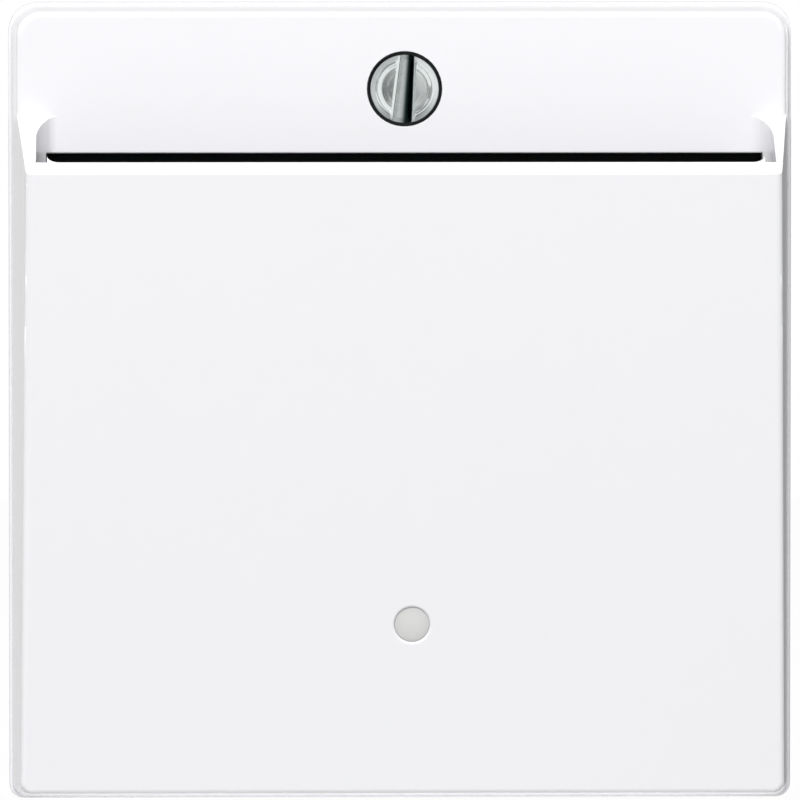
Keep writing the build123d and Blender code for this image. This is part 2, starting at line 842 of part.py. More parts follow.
# Support ring
with BuildPart() as support_ring:
    with BuildSketch(front_plane(0)):
        RectangleRounded(ring_size, ring_size, ring_corner)
        RectangleRounded(
            ring_opening_width, ring_opening_height, ring_opening_round, mode=Mode.SUBTRACT
        )
        for side in (-1, 1):
            with Locations((side * box_screw_pitch / 2, 0)):
                SlotOverall(box_slot_length, box_slot_width, mode=Mode.SUBTRACT)
            with Locations((side * claw_x, 0)):
                Circle(claw_screw_radius + claw_hole_clearance, mode=Mode.SUBTRACT)
            with Locations((side * hook_x, hook_height - hook_barb / 2)):
                Rectangle(
                    hook_width + 2 * hook_gap,
                    hook_thickness + hook_barb + 2 * hook_gap,
                    mode=Mode.SUBTRACT,
                )
            for level in (-1, 1):
                window_middle = claw_half_height + lug_gap + lug_thickness + lug_window / 2
                with Locations((side * claw_x, level * window_middle)):
                    Rectangle(2 * lug_half_width, lug_window, mode=Mode.SUBTRACT)
                with Locations((side * rivet_x, level * rivet_height)):
                    Circle(rivet_radius + rivet_clearance, mode=Mode.SUBTRACT)
    extrude(amount=ring_thickness)
    # Threaded collar of the cover screw
    with BuildSketch(front_plane(-collar_length)):
        with Locations((screw_x, screw_height)):
            Circle(screw_thread_radius + collar_wall)
    extrude(amount=collar_length)
    with BuildSketch(front_plane(-overrun)):
        with Locations((screw_x, screw_height)):
            Circle(screw_thread_radius + thread_clearance)
    extrude(amount=hole_overrun, mode=Mode.SUBTRACT)
    # Lugs bent back beside each claw
    for side in (-1, 1):
        for level in (-1, 1):
            lug_start = level * (claw_half_height + lug_gap)
            with BuildSketch(top_plane(lug_start)):
                with Locations((side * claw_x, lug_reach / 2)):
                    Rectangle(2 * lug_half_width, lug_reach)
                with Locations((side * claw_x, claw_pivot_reach)):
                    Circle(claw_pin_radius + running_clearance, mode=Mode.SUBTRACT)
            extrude(amount=level * lug_thickness)
    # Stiffening beads beside the corners
    with BuildSketch(front_plane(ring_thickness)):
        for side in (-1, 1):
            for level in (-1, 1):
                with Locations((side * bead_x, level * bead_height)):
                    SlotOverall(bead_length, bead_width)
    extrude(amount=bead_rise)
keep(support_ring, "support_ring")

# Insert base
with BuildPart() as insert_base:
    with BuildSketch(front_plane(0)) as base_outline:
        Rectangle(base_width, base_height)
        chamfer(base_outline.vertices(), length=base_corner)
    extrude(amount=-base_depth)
    chamfer(insert_base.faces().sort_by(Axis.Y)[-1].edges(), length=base_edge)
    with BuildSketch(front_plane(0)):
        RectangleRounded(ring_opening_width, ring_opening_height, ring_opening_round)
    extrude(amount=-cap_rear - seat_clearance, mode=Mode.SUBTRACT)
    with BuildSketch(front_plane(0)) as cavity_outline:
        Rectangle(base_cavity_width, base_cavity_height)
        cavity_corner = base_corner - base_side_wall - base_end_wall + base_wall * math.sqrt(2)
        chamfer(cavity_outline.vertices(), length=cavity_corner)
    extrude(amount=-cavity_rear, mode=Mode.SUBTRACT)
    # Partitions beside the contact chamber
    with BuildSketch(front_plane(-partition_front)):
        for side in (-1, 1):
            with Locations(
                (side * (partition_x + partition_wall / 2), (partition_top + partition_foot) / 2)
            ):
                Rectangle(partition_wall, partition_top - partition_foot)
    extrude(amount=partition_front - cavity_rear - base_wall / 2)
    # Socket of the lamp holder
    with BuildSketch(front_plane(0)):
        with Locations((lens_x, lens_height)):
            Circle(lamp_radius + fit_clearance + holder_wall + fit_clearance)
    extrude(amount=-(holder_front + holder_length + light_gap), mode=Mode.SUBTRACT)
    # Blind holes of the rivets
    with BuildSketch(front_plane(0)):
        with Locations(
            *[(side * rivet_x, level * rivet_height) for side in (-1, 1) for level in (-1, 1)]
        ):
            Circle(rivet_radius + rivet_clearance)
    extrude(amount=-(rivet_length - ring_thickness), mode=Mode.SUBTRACT)
    # Wire entries with their funnels, and the openings of the release keys
    poles = ((-1, 1), (1, -1), (-1, -1))
    entries = [
        (side * entry_x, level * height) for side, level in poles for height in entry_heights
    ]
    with BuildSketch(front_plane(-base_depth - overrun)):
        with Locations(*entries):
            RectangleRounded(entry_width, entry_width, entry_corner)
        with Locations(*[(side * key_x, level * key_height) for side, level in poles]):
            Rectangle(key_width + 2 * key_gap, key_size + 2 * key_gap)
    extrude(amount=base_wall + 2 * overrun, mode=Mode.SUBTRACT)
    with BuildSketch(front_plane(-base_depth)):
        with Locations(*entries):
            Rectangle(entry_width + 2 * entry_funnel, entry_width + 2 * entry_funnel)
    extrude(amount=entry_funnel, taper=45, mode=Mode.SUBTRACT)
    # Windows that the cap's hooks catch in
    for level in (-1, 1):
        with BuildSketch(top_plane(level * base_cavity_height / 2)):
            with Locations(*[(side * latch_x, latch_reach) for side in (-1, 1)]):
                Rectangle(latch_width + 2 * latch_gap, latch_barb_length + 2 * latch_gap)
        extrude(amount=level * base_height, both=True, mode=Mode.SUBTRACT)
keep(insert_base, "insert_base")

# Insert cap, with the bearings of the rocker cradle
with BuildPart() as insert_cap:
    with BuildSketch(front_plane(cap_front)):
        RectangleRounded(
            ring_opening_width - 2 * cap_gap,
            ring_opening_height - 2 * cap_gap,
            ring_opening_round - cap_gap,
        )
        with Locations((0, (cap_window_top + cap_window_foot) / 2)):
            Rectangle(
                2 * cap_window_half_width, cap_window_top - cap_window_foot, mode=Mode.SUBTRACT
            )
        with Locations((lens_x, lens_height)):
            Circle(lamp_radius + cap_gap, mode=Mode.SUBTRACT)
    extrude(amount=-(cap_front + cap_rear))
    bearing_radius = trunnion_radius + bearing_rim
    bearing_middle = cradle_half_width + bearing_gap + bearing_width / 2
    with BuildSketch(side_plane()) as bearing_side:
        with Locations((-cradle_pivot_reach, cradle_pivot_height)):
            Circle(bearing_radius)
        with Locations((-cradle_pivot_reach / 2, cradle_pivot_height)):
            Rectangle(cradle_pivot_reach, 2 * bearing_radius)
    for side in (-1, 1):
        bearing_face = Pos(side * bearing_middle, 0, 0) * bearing_side.sketch
        extrude(bearing_face, amount=bearing_width / 2, both=True)
    # Snap hooks in the base's windows
    latch_outer = base_cavity_height / 2 - latch_gap
    latch_end = latch_reach + latch_barb_length / 2
    for level in (-1, 1):
        latch_side = side_outline(
            (-cap_rear / 2, level * (latch_outer - latch_sheet)),
            (-latch_end, level * (latch_outer - latch_sheet)),
            (-latch_end, level * latch_outer),
            (-latch_reach, level * (latch_outer + latch_barb)),
            (-latch_reach + latch_barb_length / 2, level * (latch_outer + latch_barb)),
            (-latch_reach + latch_barb_length / 2, level * latch_outer),
            (-cap_rear / 2, level * latch_outer),
        )
        for side in (-1, 1):
            extrude(Pos(side * latch_x, 0, 0) * latch_side, amount=latch_width / 2, both=True)
    with BuildSketch(side_plane()):
        with Locations((-cradle_pivot_reach, cradle_pivot_height)):
            Circle(trunnion_radius + running_clearance)
    extrude(amount=bearing_middle + bearing_width, both=True, mode=Mode.SUBTRACT)
keep(insert_cap, "insert_cap")

# Rivets that clamp the ring to the base
with BuildPart() as ring_rivets:
    rivet_places = [
        (side * rivet_x, level * rivet_height) for side in (-1, 1) for level in (-1, 1)
    ]
    with BuildSketch(front_plane(ring_thickness)):
        with Locations(*rivet_places):
            Circle(rivet_head_radius)
    extrude(amount=rivet_head_length)
    fillet(ring_rivets.faces().sort_by(Axis.Y)[0:4].edges(), radius=rivet_head_length / 2)
    with BuildSketch(front_plane(ring_thickness)):
        with Locations(*rivet_places):
            Circle(rivet_radius)
    extrude(amount=-(rivet_length - seat_clearance))
keep(ring_rivets, "ring_rivets")

# Rocker cradle, pushed by the flap's pusher
with BuildPart() as rocker_cradle:
    pad_depth = pusher_depth - cradle_pad_gap
    pad_top = flap_foot_height + pusher_height + flap_side_gap
    plate_rear = cradle_front_depth - cradle_plate
    cradle_outline = side_outline(
        (plate_rear, cradle_top),
        (cradle_front_depth, cradle_top),
        (cradle_front_depth, pad_top + cradle_plate),
        (pad_depth, pad_top),
        (pad_depth, cradle_pad_foot),
        (cradle_front_depth, cradle_foot),
        (plate_rear, cradle_foot),
    )
    extrude(cradle_outline, amount=cradle_half_width, both=True)
    soft_edges = rocker_cradle.edges().filter_by(Axis.X).sort_by(Axis.Y)[0:2]
    fillet(soft_edges, radius=flap_edge_round)
    with BuildSketch(side_plane()):
        with Locations((-cradle_pivot_reach, cradle_pivot_height)):
            Circle(cradle_hub_radius)
    extrude(amount=cradle_half_width, both=True)
    with BuildSketch(side_plane()):
        with Locations((-cradle_pivot_reach, cradle_pivot_height)):
            Circle(trunnion_radius)
    extrude(amount=cradle_half_width + bearing_gap + trunnion_length, both=True)
    # Finger that presses the contact leaf
    finger_tip = -leaf_reach + finger_gap
    with BuildSketch(side_plane()) as finger_side:
        finger_length = cradle_front_depth - finger_tip
        with Locations((finger_tip + finger_length / 2, finger_height)):
            Rectangle(finger_length, finger_thickness)
        fillet(finger_side.vertices().sort_by(Axis.Y)[-2:], radius=finger_thickness / 3)
    extrude(amount=finger_half_width, both=True)
keep(rocker_cradle, "rocker_cradle")

# Contact leaf and its rivet
leaf_rear = leaf_reach + leaf_thickness
with BuildPart() as contact_leaf:
    with BuildSketch(front_plane(-leaf_reach)) as leaf_face:
        with Locations((0, (leaf_top + leaf_foot) / 2)):
            Rectangle(2 * leaf_half_width, leaf_top - leaf_foot)
        fillet(leaf_face.vertices().group_by(Axis.Y)[0], radius=leaf_half_width / 2)
        with Locations((0, contact_height)):
            Circle(contact_stem_radius + stem_clearance, mode=Mode.SUBTRACT)
    extrude(amount=-leaf_thickness)
keep(contact_leaf, "contact_leaf")

with BuildPart() as moving_contact:
    with BuildSketch(front_plane(-leaf_rear)):
        with Locations((0, contact_height)):
            Circle(contact_radius)
    extrude(amount=-contact_length)
    with BuildSketch(front_plane(-leaf_rear)):
        with Locations((0, contact_height)):
            Circle(contact_stem_radius)
    extrude(amount=leaf_thickness)
    with BuildSketch(front_plane(-leaf_reach)):
        with Locations((0, contact_height)):
            Circle(contact_radius - contact_length / 2)
    extrude(amount=contact_length / 2)
keep(moving_contact, "moving_contact")

fixed_front = leaf_rear + contact_length + contact_opening
switched_front = fixed_front + contact_length
with BuildPart() as fixed_contact:
    with BuildSketch(front_plane(-fixed_front)):
        with Locations((0, contact_height)):
            Circle(contact_radius)
    extrude(amount=-contact_length)
    with BuildSketch(front_plane(-switched_front)):
        with Locations((0, contact_height)):
            Circle(contact_stem_radius)
    extrude(amount=-(strip_thickness + contact_length / 2))
keep(fixed_contact, "fixed_contact")

# Brass strips, each with the post that the wires are clamped to
post_x = base_cavity_width / 2 - strip_gap - strip_thickness


def terminal_strip(side, level, run_foot, run_reach, run_end):
    """Brass strip: a run across the base and a post along its side wall."""
    post_start = run_foot if level > 0 else run_foot + strip_width
    post_end = level * strip_post_end
    with BuildPart() as strip:
        run_start = side * (post_x + strip_thickness)
        with BuildSketch(front_plane(-run_reach)):
            with Locations(((run_start + run_end) / 2, run_foot + strip_width / 2)):
                Rectangle(abs(run_start - run_end), strip_width)
        extrude(amount=-strip_thickness)
        with BuildSketch(front_plane(-strip_post_front)):
            with Locations((side * (post_x + strip_thickness / 2), (post_start + post_end) / 2)):
                Rectangle(strip_thickness, abs(post_end - post_start))
        extrude(amount=-(clamp_back - strip_post_front - strip_gap))
    return strip


supply_foot = leaf_top + leaf_root_gap
supply_strip = terminal_strip(-1, 1, supply_foot, leaf_reach - strip_gap, leaf_half_width)
keep(supply_strip, "supply_strip")

switched_foot = contact_height - strip_width / 2
with BuildPart() as switched_strip:
    add(terminal_strip(1, -1, switched_foot, switched_front, -leaf_half_width).part)
    with BuildSketch(front_plane(-switched_front)):
        with Locations((0, contact_height)):
            Circle(contact_stem_radius + stem_clearance)
    extrude(amount=-strip_thickness, mode=Mode.SUBTRACT)
keep(switched_strip, "switched_strip")

# Neutral strip, with a tongue to the lamp holder
with BuildPart() as neutral_strip:
    holder_radius = lamp_radius + fit_clearance + holder_wall
    tongue_start = -post_x - strip_thickness
    tongue_end = lens_x - holder_radius - strip_gap
    with BuildSketch(front_plane(-strip_post_front)):
        with Locations((-post_x - strip_thickness / 2, (neutral_top - strip_post_end) / 2)):
            Rectangle(strip_thickness, neutral_top + strip_post_end)
    extrude(amount=-(clamp_back - strip_post_front - strip_gap))
    with BuildSketch(front_plane(-strip_post_front)):
        tongue_middle = neutral_tongue_width / 2 - strip_post_end
        with Locations(((tongue_start + tongue_end) / 2, tongue_middle)):
            Rectangle(tongue_end - tongue_start, neutral_tongue_width)
    extrude(amount=-strip_thickness)
keep(neutral_strip, "neutral_strip")

# Clamp springs: a bent strip beside each wire entry
with BuildPart() as clamp_springs:
    for side, level in poles:
        for height in entry_heights:
            clamp_foot = level * height - clamp_width / 2
            with BuildSketch(top_plane(clamp_foot)):
                with BuildLine():
                    FilletPolyline(
                        (side * clamp_inner_x, clamp_back),
                        (side * clamp_inner_x, clamp_front),
                        (side * (entry_x - strip_gap), clamp_front),
                        (side * (post_x - strip_gap - clamp_thickness), clamp_front + strip_post_front),
                        radius=clamp_bend,
                    )
                trace(line_width=clamp_thickness)
            extrude(amount=clamp_width)
keep(clamp_springs, "clamp_springs")


def release_key(side, level):
    """Key that slides in the rear wall and opens the two clamps of a pole."""
    with BuildPart() as key:
        with BuildSketch(front_plane(-(cavity_rear - key_flange - seat_clearance))):
            with Locations((side * key_x, level * key_height)):
                Rectangle(key_width, key_size)
        extrude(amount=-(key_flange + seat_clearance + base_wall + key_stand))
        fillet(key.faces().sort_by(Axis.Y)[-1].edges(), radius=key_edge)
        with BuildSketch(front_plane(-(cavity_rear - seat_clearance))):
            with Locations((side * key_x, level * key_height)):
                Rectangle(key_width + 2 * key_flange, key_size + 2 * key_flange)
        extrude(amount=key_flange)
        with BuildSketch(front_plane(-(cavity_rear - key_flange))):
            with Locations((side * key_x, level * key_height)):
                Rectangle(key_width, key_size - 2 * key_flange)
        extrude(amount=key_depth - key_flange)
    return key


for key_name, (side, level) in zip(
    ("release_key_supply", "release_key_switched", "release_key_neutral"), poles
):
    keep(release_key(side, level), key_name)

# Lamp holder and lamp
with BuildPart() as lamp_holder:
    with BuildSketch(front_plane(-holder_front)):
        with Locations((lens_x, lens_height)):
            Circle(holder_radius)
            Circle(lamp_radius + fit_clearance, mode=Mode.SUBTRACT)
    extrude(amount=-holder_length)
keep(lamp_holder, "lamp_holder")

with BuildPart() as lamp:
    with BuildSketch(front_plane(lamp_nose_depth)):
        with Locations((lens_x, lens_height)):
            Circle(lamp_radius)
    extrude(amount=-lamp_length)
    fillet(lamp.faces().sort_by(Axis.Y)[0].edges(), radius=lamp_radius - lamp_rim)
keep(lamp, "lamp")


def spreading_claw(side):
    """Claw of bent sheet: web, two cheeks, a fork round the screw, teeth and pivot pins."""
    with BuildPart() as claw:
        with BuildSketch(top_plane(-claw_half_height)):
            with BuildLine():
                Polyline(
                    (side * claw_inner_x, claw_front),
                    (side * (claw_inner_x + claw_nose), claw_front),
                    (side * claw_web_x, claw_nose),
                    (side * claw_web_x, claw_rear),
                    (side * (claw_inner_x + claw_nose), claw_rear),
                    (side * claw_inner_x, claw_waist),
                    close=True,
                )
            make_face()
            with BuildLine():
                Polyline(
                    (side * claw_web_x, claw_rear - claw_tooth_length),
                    (side * (claw_web_x + claw_tooth), claw_rear),
                    (side * claw_web_x, claw_rear),
                    close=True,
                )
            make_face()
            with BuildLine():
                Polyline(
                    (side * claw_inner_x, claw_rear),
                    (side * (claw_inner_x + claw_nose), claw_rear),
                    (side * (claw_inner_x + claw_nose), claw_rear - claw_sheet),
                    (side * claw_inner_x, claw_rear - claw_sheet),
                    close=True,
                )
            make_face()
        extrude(amount=2 * claw_half_height)
        # Space between the cheeks, ahead of the fork
        inner = claw_half_height - claw_sheet
        web_inner = claw_web_x - claw_sheet
        with BuildSketch(top_plane(-inner)):
            with Locations(
                (side * (web_inner + claw_inner_x - overrun) / 2, (claw_rear - claw_sheet) / 2)
            ):
                Rectangle(web_inner - claw_inner_x + overrun, claw_rear - claw_sheet)
        extrude(amount=2 * inner, mode=Mode.SUBTRACT)
        # Fork, open towards the middle of the insert
        with BuildSketch(top_plane(-claw_fork_half)):
            with Locations((side * (claw_fork_end + claw_inner_x - overrun) / 2, claw_rear)):
                Rectangle(claw_fork_end - claw_inner_x + overrun, 2 * claw_tooth_length)
        extrude(amount=2 * claw_fork_half, mode=Mode.SUBTRACT)
        # Gaps between the teeth
        tooth_step = 2 * claw_half_height / 3
        for level in (-1, 1):
            with BuildSketch(top_plane(level * tooth_step / 2 - claw_tooth_gap / 2)):
                with Locations((side * (claw_web_x + claw_tooth), claw_rear)):
                    Rectangle(2 * claw_tooth, 3 * claw_tooth_length)
            extrude(amount=claw_tooth_gap, mode=Mode.SUBTRACT)
        # Pivot pins on the cheeks
        for level in (-1, 1):
            with BuildSketch(top_plane(level * (claw_half_height - claw_sheet / 2))):
                with Locations((side * claw_x, claw_pivot_reach)):
                    Circle(claw_pin_radius)
            extrude(amount=level * (claw_sheet / 2 + lug_gap + lug_thickness))
    return claw


keep(spreading_claw(-1), "claw_left")
keep(spreading_claw(1), "claw_right")


def claw_screw(side):
    """Round-headed screw that draws a claw out."""
    with BuildPart() as screw:
        with BuildSketch(side_plane()):
            with BuildLine():
                Polyline(
                    (-claw_screw_tip, 0),
                    (-claw_screw_tip, claw_screw_radius - claw_screw_taper),
                    (-claw_screw_tip + claw_screw_taper, claw_screw_radius),
                    (ring_thickness + running_clearance, claw_screw_radius),
                    (ring_thickness + running_clearance, claw_head_radius),
                    (ring_thickness + claw_head_length - claw_head_round, claw_head_radius),
                    (ring_thickness + claw_head_length, claw_head_radius - claw_head_round),
                    (ring_thickness + claw_head_length, 0),
                    close=True,
                )
            make_face()
        revolve(axis=Axis((0, 0, 0), (0, 1, 0)))
        with BuildSketch(front_plane(ring_thickness + claw_head_length - claw_slot_depth)):
            Rectangle(2 * claw_head_radius + overrun, claw_slot_width)
        extrude(amount=overrun, mode=Mode.SUBTRACT)
    screw.part = Pos(side * claw_x, 0, 0) * screw.part
    return screw


keep(claw_screw(-1), "claw_screw_left")
keep(claw_screw(1), "claw_screw_right")
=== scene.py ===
"""Looks of a hotel key card switch: finishes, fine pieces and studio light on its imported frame.

Metres. X runs to the right, Z up, and the front faces -Y. The wall is the plane Y = 0.
"""

import logging
import math
from dataclasses import dataclass
from enum import Enum
from typing import Any, Optional, Union

import bmesh
import bpy
from mathutils import Matrix, Vector


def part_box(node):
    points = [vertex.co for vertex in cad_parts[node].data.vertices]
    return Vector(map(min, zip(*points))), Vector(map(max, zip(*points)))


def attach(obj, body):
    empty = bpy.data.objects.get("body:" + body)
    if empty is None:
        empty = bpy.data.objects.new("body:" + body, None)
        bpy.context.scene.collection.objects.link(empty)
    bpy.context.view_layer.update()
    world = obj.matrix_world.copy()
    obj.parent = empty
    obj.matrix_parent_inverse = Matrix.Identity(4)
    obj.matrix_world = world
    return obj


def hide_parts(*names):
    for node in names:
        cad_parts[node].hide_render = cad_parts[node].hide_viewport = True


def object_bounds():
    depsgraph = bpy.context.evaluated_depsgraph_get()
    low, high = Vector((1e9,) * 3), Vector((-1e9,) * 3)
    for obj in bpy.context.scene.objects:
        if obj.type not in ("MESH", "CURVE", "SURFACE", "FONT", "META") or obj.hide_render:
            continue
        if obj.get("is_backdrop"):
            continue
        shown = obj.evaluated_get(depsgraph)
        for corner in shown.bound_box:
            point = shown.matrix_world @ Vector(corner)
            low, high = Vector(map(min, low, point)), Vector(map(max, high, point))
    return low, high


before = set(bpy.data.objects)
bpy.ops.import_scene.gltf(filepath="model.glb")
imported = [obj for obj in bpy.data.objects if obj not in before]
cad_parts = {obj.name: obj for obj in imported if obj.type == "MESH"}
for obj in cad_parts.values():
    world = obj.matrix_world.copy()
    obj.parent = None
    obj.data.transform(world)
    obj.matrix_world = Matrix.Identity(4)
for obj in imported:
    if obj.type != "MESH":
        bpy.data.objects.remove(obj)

Colour = tuple[float, float, float]
Point = tuple[float, float, float]
Number = Union[int, float]

MM = 0.001
WHITE = (1.0, 1.0, 1.0, 1.0)
CREASE = math.radians(35)  # edges sharper than this stay sharp
WELD = 1e-4  # distance in millimetres within which corners are one
LOG = logging.getLogger("key_card_switch")


class Body(Enum):
    """Bodies of the frame that new pieces ride on."""

    UNIT = "mounted_unit"
    SCREW_LEFT = "screw_l"
    SCREW_RIGHT = "screw_r"


class Signal:
    """Output of a shader node, for use in Python expressions."""

    def __init__(self, graph: "Graph", socket: Optional[bpy.types.NodeSocket]) -> None:
        """Wrap a socket.

        Args:
            graph: The graph that the socket belongs to.
            socket: The output socket, none for a node that ends a graph.
        """
        self.graph = graph
        self.socket = socket

    def combine(self, operation: str, *values: "Input") -> "Signal":
        """Add a Math node.

        Args:
            operation: Name of the Math node's operation.
            *values: Numbers or signals for its sockets.

        Returns:
            The node's result.
        """
        return self.graph.node("ShaderNodeMath", {"operation": operation}, dict(enumerate(values)))

    def __add__(self, other: "Input") -> "Signal":
        """Sum."""
        return self.combine("ADD", self, other)

    def __radd__(self, other: "Input") -> "Signal":
        """Sum with a number on the left."""
        return self.combine("ADD", other, self)

    def __sub__(self, other: "Input") -> "Signal":
        """Difference."""
        return self.combine("SUBTRACT", self, other)

    def __rsub__(self, other: "Input") -> "Signal":
        """Difference from a number."""
        return self.combine("SUBTRACT", other, self)

    def __mul__(self, other: "Input") -> "Signal":
        """Product."""
        return self.combine("MULTIPLY", self, other)

    def __rmul__(self, other: "Input") -> "Signal":
        """Product with a number on the left."""
        return self.combine("MULTIPLY", other, self)

    def __truediv__(self, other: "Input") -> "Signal":
        """Quotient."""
        return self.combine("DIVIDE", self, other)

    def __pow__(self, other: "Input") -> "Signal":
        """Power."""
        return self.combine("POWER", self, other)

    def __gt__(self, other: "Input") -> "Signal":
        """One where this is the greater."""
        return self.combine("GREATER_THAN", self, other)

    def clamped(self) -> "Signal":
        """Limited to 0 to 1."""
        return self.combine("MINIMUM", self.combine("MAXIMUM", self, 0.0), 1.0)

    def either(self, other: "Input") -> "Signal":
        """The larger of two."""
        return self.combine("MAXIMUM", self, other)


Input = Union[Number, tuple, Signal]


class Graph:
    """Node tree of one material or of the world."""

    def __init__(self, tree: bpy.types.NodeTree) -> None:
        """Take a tree and empty it.

        Args:
            tree: The node tree to fill.
        """
        self.tree = tree
        tree.nodes.clear()

    def node(
        self,
        kind: str,
        settings: Optional[dict[str, Any]] = None,
        sockets: Optional[dict[Union[str, int], Input]] = None,
        output: Union[str, int] = 0,
    ) -> Signal:
        """Add a node of any type.

        Args:
            kind: The node's type.
            settings: Its own settings, set first.
            sockets: Numbers, colours or signals for its input sockets.
            output: The output to give back.

        Returns:
            The output as a signal.
        """
        made = self.tree.nodes.new(kind)
        for name, value in (settings or {}).items():
            setattr(made, name, value)
        for name, value in (sockets or {}).items():
            if isinstance(value, Signal):
                self.tree.links.new(value.socket, made.inputs[name])
            else:
                made.inputs[name].default_value = value
        return Signal(self, made.outputs[output] if len(made.outputs) else None)

    def place(self, scale: Point = (1.0, 1.0, 1.0), offset: Point = (0.0, 0.0, 0.0)) -> Signal:
        """Object coordinates, moved and scaled.

        Args:
            scale: Factor along each axis.
            offset: Point that becomes the origin.

        Returns:
            The coordinates.
        """
        spot = self.node("ShaderNodeTexCoord", output="Object")
        moved = tuple(-step * factor for step, factor in zip(offset, scale))
        sockets = {"Vector": spot, "Location": moved, "Scale": scale}
        return self.node("ShaderNodeMapping", None, sockets)

    def depth(self) -> Signal:
        """Place along Y, the depth behind the wall."""
        spot = self.node("ShaderNodeTexCoord", output="Object")
        return self.node("ShaderNodeSeparateXYZ", None, {"Vector": spot}, "Y")

    def length(self, place: Signal) -> Signal:
        """Distance of a place from the origin."""
        return self.node("ShaderNodeVectorMath", {"operation": "LENGTH"}, {0: place}, "Value")

    def noise(self, place: Signal, size: float, detail: float = 2.0) -> Signal:
        """Noise about 0.5.

        Args:
            place: Coordinates.
            size: Size of its clouds.
            detail: Octaves.

        Returns:
            The noise.
        """
        sockets = {"Vector": place, "Scale": 1.0 / size, "Detail": detail}
        return self.node("ShaderNodeTexNoise", None, sockets, "Fac")

    def blend(
        self, share: Input, low: Union[Colour, Signal], high: Union[Colour, Signal]
    ) -> Signal:
        """Mix two colours.

        Args:
            share: Share of the second.
            low: Colour at 0.
            high: Colour at 1.

        Returns:
            The mixed colour.
        """
        first, second = (
            colour if isinstance(colour, Signal) else (*colour, 1.0) for colour in (low, high)
        )
        return self.node("ShaderNodeMix", {"data_type": "RGBA"}, {0: share, 6: first, 7: second}, 2)

    def relief(self, height: Signal, depth: float, edge: float) -> Signal:
        """Normal of a rough surface whose sharp edges are a little round.

        Args:
            height: Height from 0 to 1.
            depth: Real height at 1.
            edge: Radius that the edges show.

        Returns:
            The normal.
        """
        rounded = self.node("ShaderNodeBevel", {"samples": 6}, {"Radius": edge})
        sockets = {"Height": height, "Distance": depth, "Strength": 1.0, "Normal": rounded}
        return self.node("ShaderNodeBump", None, sockets)

    def surface(self, sockets: dict[str, Input]) -> None:
        """End a material in a Principled shader.

        Args:
            sockets: Its socket values.
        """
        shader = self.node("ShaderNodeBsdfPrincipled", None, sockets)
        self.node("ShaderNodeOutputMaterial", None, {"Surface": shader})


@dataclass(frozen=True)
class Finish:
    """Finish of a piece.

    Attributes:
        name: Name of its material.
        colour: Colour that it is near.
        roughness: Roughness that it is near.
    """

    name: str
    colour: Colour
    roughness: float

    def shade(self, factor: float) -> Colour:
        """The colour, darker or lighter by a factor."""
        red, green, blue = (min(part * factor, 1.0) for part in self.colour)
        return red, green, blue

    def wire(self, graph: Graph) -> None:
        """Fill the material's graph."""
        raise NotImplementedError

    def material(self) -> bpy.types.Material:
        """Make the material.

        Returns:
            A material with this finish.
        """
        made = bpy.data.materials.new(self.name)
        made.use_nodes = True
        self.wire(Graph(made.node_tree))
        made.diffuse_color = (*self.colour, 1.0)
        return made


@dataclass(frozen=True)
class MouldedPlastic(Finish):
    """Opaque moulded plastic with faint flow clouds and a fine grain.

    Attributes:
        grain: Size of the grain.
        height: Height of the grain.
        cloud: Share by which the colour drifts.
        edge: Radius that its sharp edges show.
        shine: Level of its reflections, where 0.5 is plain plastic.
        flow_size: Size of the flow clouds.
        polish_size: Size of the patches in its polish.
    """

    grain: float = 0.25 * MM
    height: float = 0.002 * MM
    cloud: float = 0.02
    edge: float = 0.08 * MM
    shine: float = 0.5
    flow_size: float = 16 * MM
    polish_size: float = 5 * MM

    def painted_shade(self, graph: Graph, bare_colour: Signal) -> Signal:
        """Colour with any painted shade on it, none here."""
        return bare_colour

    def wire(self, graph: Graph) -> None:
        """Fill the material's graph.

        Args:
            graph: The graph.
        """
        place = graph.place()
        flow = graph.noise(place, self.flow_size, 3.0)
        grain = graph.noise(place, self.grain, 3.0)
        polish = graph.noise(place, self.polish_size, 4.0)
        # subclasses may paint shade into this colour
        bare_colour = graph.blend(flow, self.shade(1 - self.cloud), self.shade(1 + self.cloud))
        graph.surface(
            {
                "Base Color": self.painted_shade(graph, bare_colour),
                "Roughness": self.roughness * (0.85 + 0.3 * polish),
                "Specular IOR Level": self.shine,
                "Normal": graph.relief(grain, self.height, self.edge),
            }
        )


@dataclass(frozen=True)
class ShadedBorePlastic(MouldedPlastic):
    """Moulded plastic with dust down its screw hole.

    Attributes:
        bore: Where the hole's axis meets the front face.
        bore_radius: Radius within which the painted shade lies.
        unshaded_depth: Depth below the face down to which the hole keeps its own colour.
        fade: Depth over which the painted shade darkens.
        bore_shade: Colour of the painted shade.
    """

    bore: Point = (0.0, 0.0, 0.0)
    bore_radius: float = 3.5 * MM
    unshaded_depth: float = 1.25 * MM
    fade: float = 0.25 * MM
    bore_shade: Colour = (0.05, 0.06, 0.06)

    def painted_shade(self, graph: Graph, bare_colour: Signal) -> Signal:
        """Colour with painted shade down the hole.

        Args:
            graph: The material's graph.
            bare_colour: The colour without painted shade.

        Returns:
            The colour with the painted shade.
        """
        x, face, z = self.bore
        reach = graph.length(graph.place(scale=(1.0, 0.0, 1.0), offset=(x, 0.0, z)))
        # painted shade: darkens the hole below unshaded_depth, where the gap round the screw's head
        # lies in shade
        within = 1.0 - (reach > self.bore_radius)
        below = ((graph.depth() - face - self.unshaded_depth) / self.fade).clamped()
        return graph.blend(within * below, bare_colour, self.bore_shade)


